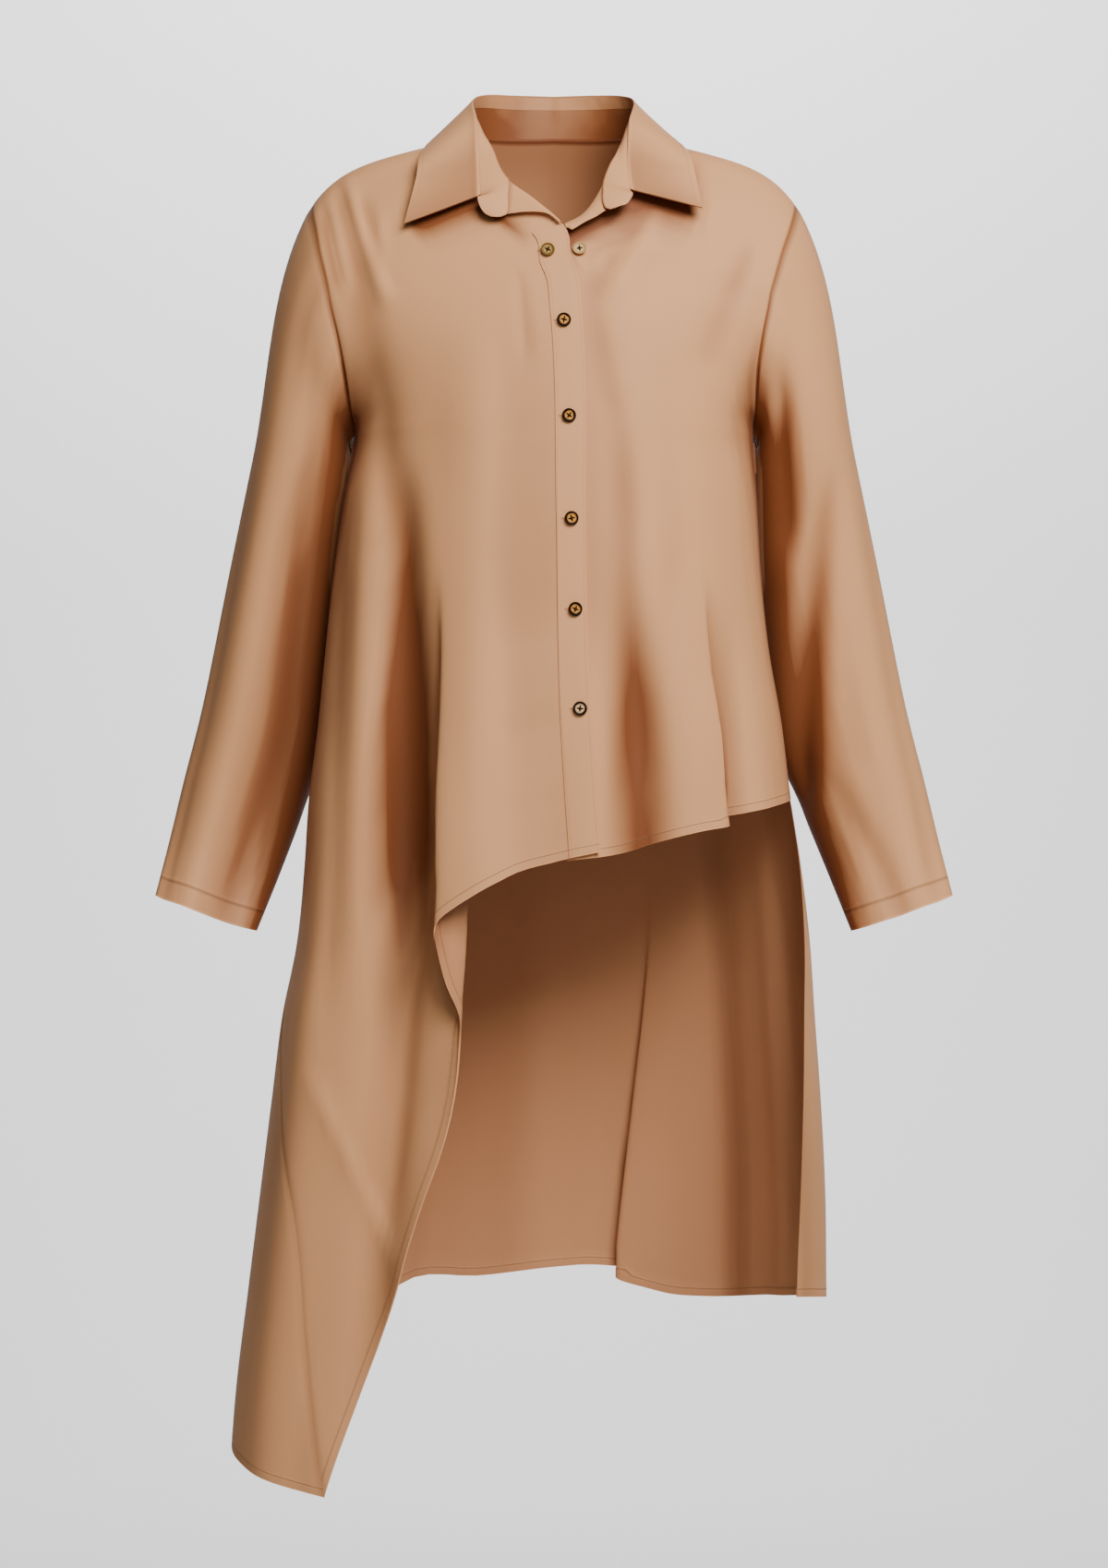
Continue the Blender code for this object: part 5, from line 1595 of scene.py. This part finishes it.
# ---------------------------------------------------------------- operators
class SHIRT_OT_studio(bpy.types.Operator):
    """Pale sweep, soft lights and the camera at the photograph's angle"""

    bl_idname = "shirt.studio"
    bl_label = "Studio"

    def execute(self, context):
        kit = context.scene.shirt_studio
        camera = bpy.data.objects.new("camera", bpy.data.cameras.new("camera"))
        camera.location = (0.0, -CAMERA_AWAY, EYE_Z)
        camera.rotation_euler = (math.radians(90), 0, 0)
        camera.data.lens = 95.2
        camera.data.sensor_width = 36.0
        context.scene.collection.objects.link(camera)
        context.scene.camera = camera
        self.sweep(context, kit)
        for name, power, size, place in (
            ("key", kit.key_power, 1.6, (0.9, -2.05, 1.35)), ("fill", kit.fill_power, 2.4, (0.2, -3.3, 0.2)),
            ("wall_wash", kit.wash_power, 4.0, (0.0, 3.8, 3.0)),
        ):
            lamp = bpy.data.lights.new(name, "AREA")
            lamp.energy = power
            lamp.size = size
            lamp.color = kit.fill_colour if name == "fill" else (1, 1, 1)
            light = bpy.data.objects.new(name, lamp)
            light.location = place
            light.visible_camera = False
            aim = Vector((0, WALL_Y + 0.2, 1.36)) if name == "wall_wash" else Vector((0, 0, -0.5))
            light.rotation_euler = (aim - light.location).to_track_quat("-Z", "Y").to_euler()
            context.scene.collection.objects.link(light)
        world = bpy.data.worlds.new("surround")
        world.use_nodes = True
        world.node_tree.nodes["Background"].inputs["Color"].default_value = (1, 1, 1, 1)
        world.node_tree.nodes["Background"].inputs["Strength"].default_value = kit.surround
        context.scene.world = world
        return {"FINISHED"}

    def sweep(self, context, kit):
        """Floor that curves up into a wall, far enough back to look at the shirt from behind."""
        near = WALL_Y - WALL_BEND
        turns = np.linspace(0, math.pi / 2, 25)
        bend = [(near + WALL_BEND * math.sin(a), WALL_BEND - WALL_BEND * math.cos(a)) for a in turns]
        profile = [(-STUDIO_HALF, 0.0)] + bend + [(WALL_Y, 7.0)]
        points = [(x, y, kit.floor_z + h) for y, h in profile for x in (-STUDIO_HALF, STUDIO_HALF)]
        faces = [(2 * k, 2 * k + 1, 2 * k + 3, 2 * k + 2) for k in range(len(profile) - 1)]
        mesh = bpy.data.meshes.new("sweep")
        mesh.from_pydata(points, [], faces)
        mesh.update()
        mesh.shade_smooth()
        mesh.materials.append(backdrop_material("backdrop", kit.backdrop))
        floor = bpy.data.objects.new("sweep", mesh)
        context.scene.collection.objects.link(floor)


class SHIRT_OT_panels(bpy.types.Operator):
    """The fronts, the back and the sleeves, with their hems"""

    bl_idname = "shirt.panels"
    bl_label = "Panels"

    def execute(self, context):
        kit = context.scene.shirt_cloth
        panels, normals = garment()
        stitch = kit.hem / MM - 1.0
        for name, grid in panels.items():
            closed = name.startswith("sleeve")
            band = (kit.cuff if closed else kit.hem) / MM
            finish = finish_for("shirting_hemmed")
            item = cloth_object("shirt_" + name, grid, normals[name], kit.wall / MM, finish, band, closed)
            dress(item, name)
            if closed:
                away = lengths(grid, 0)
                row = np.abs(away[-1, 0] - away[:, 0] - band + 1.0).argmin()
                line = grid[row] + normals[name][row] * 0.1
                sew(f"cuff_stitches_{name}", [np.concatenate([line, line[:1]])])
            else:
                sew(f"hem_stitches_{name}", [beside_edge(grid, normals[name], stitch, 0.1)])
        return {"FINISHED"}


class SHIRT_OT_placket(bpy.types.Operator):
    """The placket and the button stand under it, with their topstitching"""

    bl_idname = "shirt.placket"
    bl_label = "Placket"

    def execute(self, context):
        kit = context.scene.shirt_cloth
        inset = context.scene.shirt_stitching.inset / MM
        panels, normals = garment()
        for name, panel in (("placket", "front_right"), ("button_stand", "front_left")):
            part = panels[panel][TOP_ROW:, : COLS_TRIM + 1]
            out = normals[panel][TOP_ROW:, : COLS_TRIM + 1]
            top = part + out * (LAY_GAP + kit.trim / MM)
            finish = finish_for("shirting_hemmed")
            item = cloth_object("shirt_" + name, top, out, kit.trim / MM, finish, kit.hem / MM)
            dress(item, name)
            lines = [across_at(top, out, at, 0.1) for at in (inset, PLACKET_WIDTH - inset)]
            sew(f"{name}_stitches", lines)
        return {"FINISHED"}


class SHIRT_OT_collar(bpy.types.Operator):
    """The collar stand and leaf, and the neck facings turned out below them"""

    bl_idname = "shirt.collar"
    bl_label = "Collar"

    def execute(self, context):
        kit = context.scene.shirt_cloth
        inset = 5.0
        for name, grid in (("collar_stand", stand_grid()), ("collar_leaf", leaf_grid())):
            out = grid_normals(grid)
            out = out if out[0, grid.shape[1] // 2, 1] < 0 else -out
            item = cloth_object("shirt_" + name, grid, out, kit.collar / MM, finish_for("shirting"))
            dress(item, name)
            if name == "collar_leaf":
                down = lengths(grid, 0)
                line = []
                for j in range(grid.shape[1]):
                    at = down[-1, j] - inset
                    point = [np.interp(at, down[:, j], grid[:, j, k]) for k in range(3)]
                    line.append(np.array(point) + out[-3, j] * 0.1)
                sew("collar_leaf_stitches", [line])
        for name, side in (("neck_facing_right", -1), ("neck_facing_left", 1)):
            grid = facing_grid(side)
            out = grid_normals(grid)
            out = out if out[..., 1].sum() < 0 else -out
            item = cloth_object("shirt_" + name, grid, out, kit.trim / MM, finish_for("shirting"))
            dress(item, name)
        return {"FINISHED"}


class SHIRT_OT_buttons(bpy.types.Operator):
    """Seven horn buttons with their thread and buttonholes"""

    bl_idname = "shirt.buttons"
    bl_label = "Buttons"

    def execute(self, context):
        kit = context.scene.shirt_buttons
        cloth = context.scene.shirt_cloth
        panels, normals = garment()
        blank = drilled_button("button_blank", kit)
        thread = button_thread(kit)
        holes = []
        for count, (x, z, layer, turn, tilt) in enumerate(BUTTONS, start=1):
            panel = "front_right" if layer else "front_left"
            place, normal = surface_at(panels[panel], normals[panel], x, z)
            seat = place + normal * (LAY_GAP + cloth.trim / MM + 0.45)
            where = place_matrix(seat, normal, turn, tilt)
            horn = HORN.get(count, "horn_dark")
            for name, source, node, finish, slot in (
                (f"shirt_button_{count}", blank, f"button_{count}", horn, "horn"),
                (f"button_thread_{count}", thread, None, "thread_brown", "cloth"),
            ):
                mesh = source.copy()
                mesh.transform(where)
                mesh.materials.clear()
                mesh.materials.append(finish_for(finish))
                item = bpy.data.objects.new(name, mesh)
                context.scene.collection.objects.link(item)
                dress(item, node)
            if layer:
                lift = normal * (LAY_GAP + cloth.trim / MM + 0.1)
                ring_turns = np.linspace(0, 2 * math.pi, 41)
                right = unit(np.cross(normal, (0, 0, 1.0)))
                right = right * np.sign(right[0])
                up = np.cross(normal, right)
                centre = place + lift
                holes.append([
                    centre + right * (5.6 * math.cos(a) - 2.6) + up * (0.75 * math.sin(a)) for a in ring_turns
                ])
        sew("buttonhole_stitches", holes, pitch=0.45 * MM, size=1.5 * MM, turned=True)
        bpy.data.meshes.remove(blank)
        bpy.data.meshes.remove(thread)
        return {"FINISHED"}


class SHIRT_PT_sidebar(bpy.types.Panel):
    """Lists the shirt's sizes and the steps that build it"""

    bl_label = "Asymmetric Shirt"
    bl_idname = "SHIRT_PT_sidebar"
    bl_space_type = "VIEW_3D"
    bl_region_type = "UI"
    bl_category = "Shirt"

    def draw(self, context):
        scene = context.scene
        for group in (scene.shirt_cloth, scene.shirt_stitching, scene.shirt_buttons, scene.shirt_studio):
            box = self.layout.box()
            box.label(text=group.__doc__)
            for key in group.__annotations__:
                box.prop(group, key)
        for step in STEPS:
            self.layout.operator(step.bl_idname)


GROUPS = {
    "shirt_cloth": ShirtCloth,
    "shirt_stitching": ShirtStitching,
    "shirt_buttons": ShirtButtons,
    "shirt_studio": ShirtStudio,
}
STEPS = (SHIRT_OT_studio, SHIRT_OT_panels, SHIRT_OT_placket, SHIRT_OT_collar, SHIRT_OT_buttons)


def register():
    for name, group in GROUPS.items():
        bpy.utils.register_class(group)
        setattr(bpy.types.Scene, name, bpy.props.PointerProperty(type=group))
    for step in (*STEPS, SHIRT_PT_sidebar):
        bpy.utils.register_class(step)


def unregister():
    for step in reversed((*STEPS, SHIRT_PT_sidebar)):
        bpy.utils.unregister_class(step)
    for name, group in reversed(GROUPS.items()):
        delattr(bpy.types.Scene, name)
        bpy.utils.unregister_class(group)


def main():
    register()
    bpy.ops.shirt.studio()
    bpy.ops.shirt.panels()
    bpy.ops.shirt.placket()
    bpy.ops.shirt.collar()
    bpy.ops.shirt.buttons()


if __name__ == "__main__":
    main()
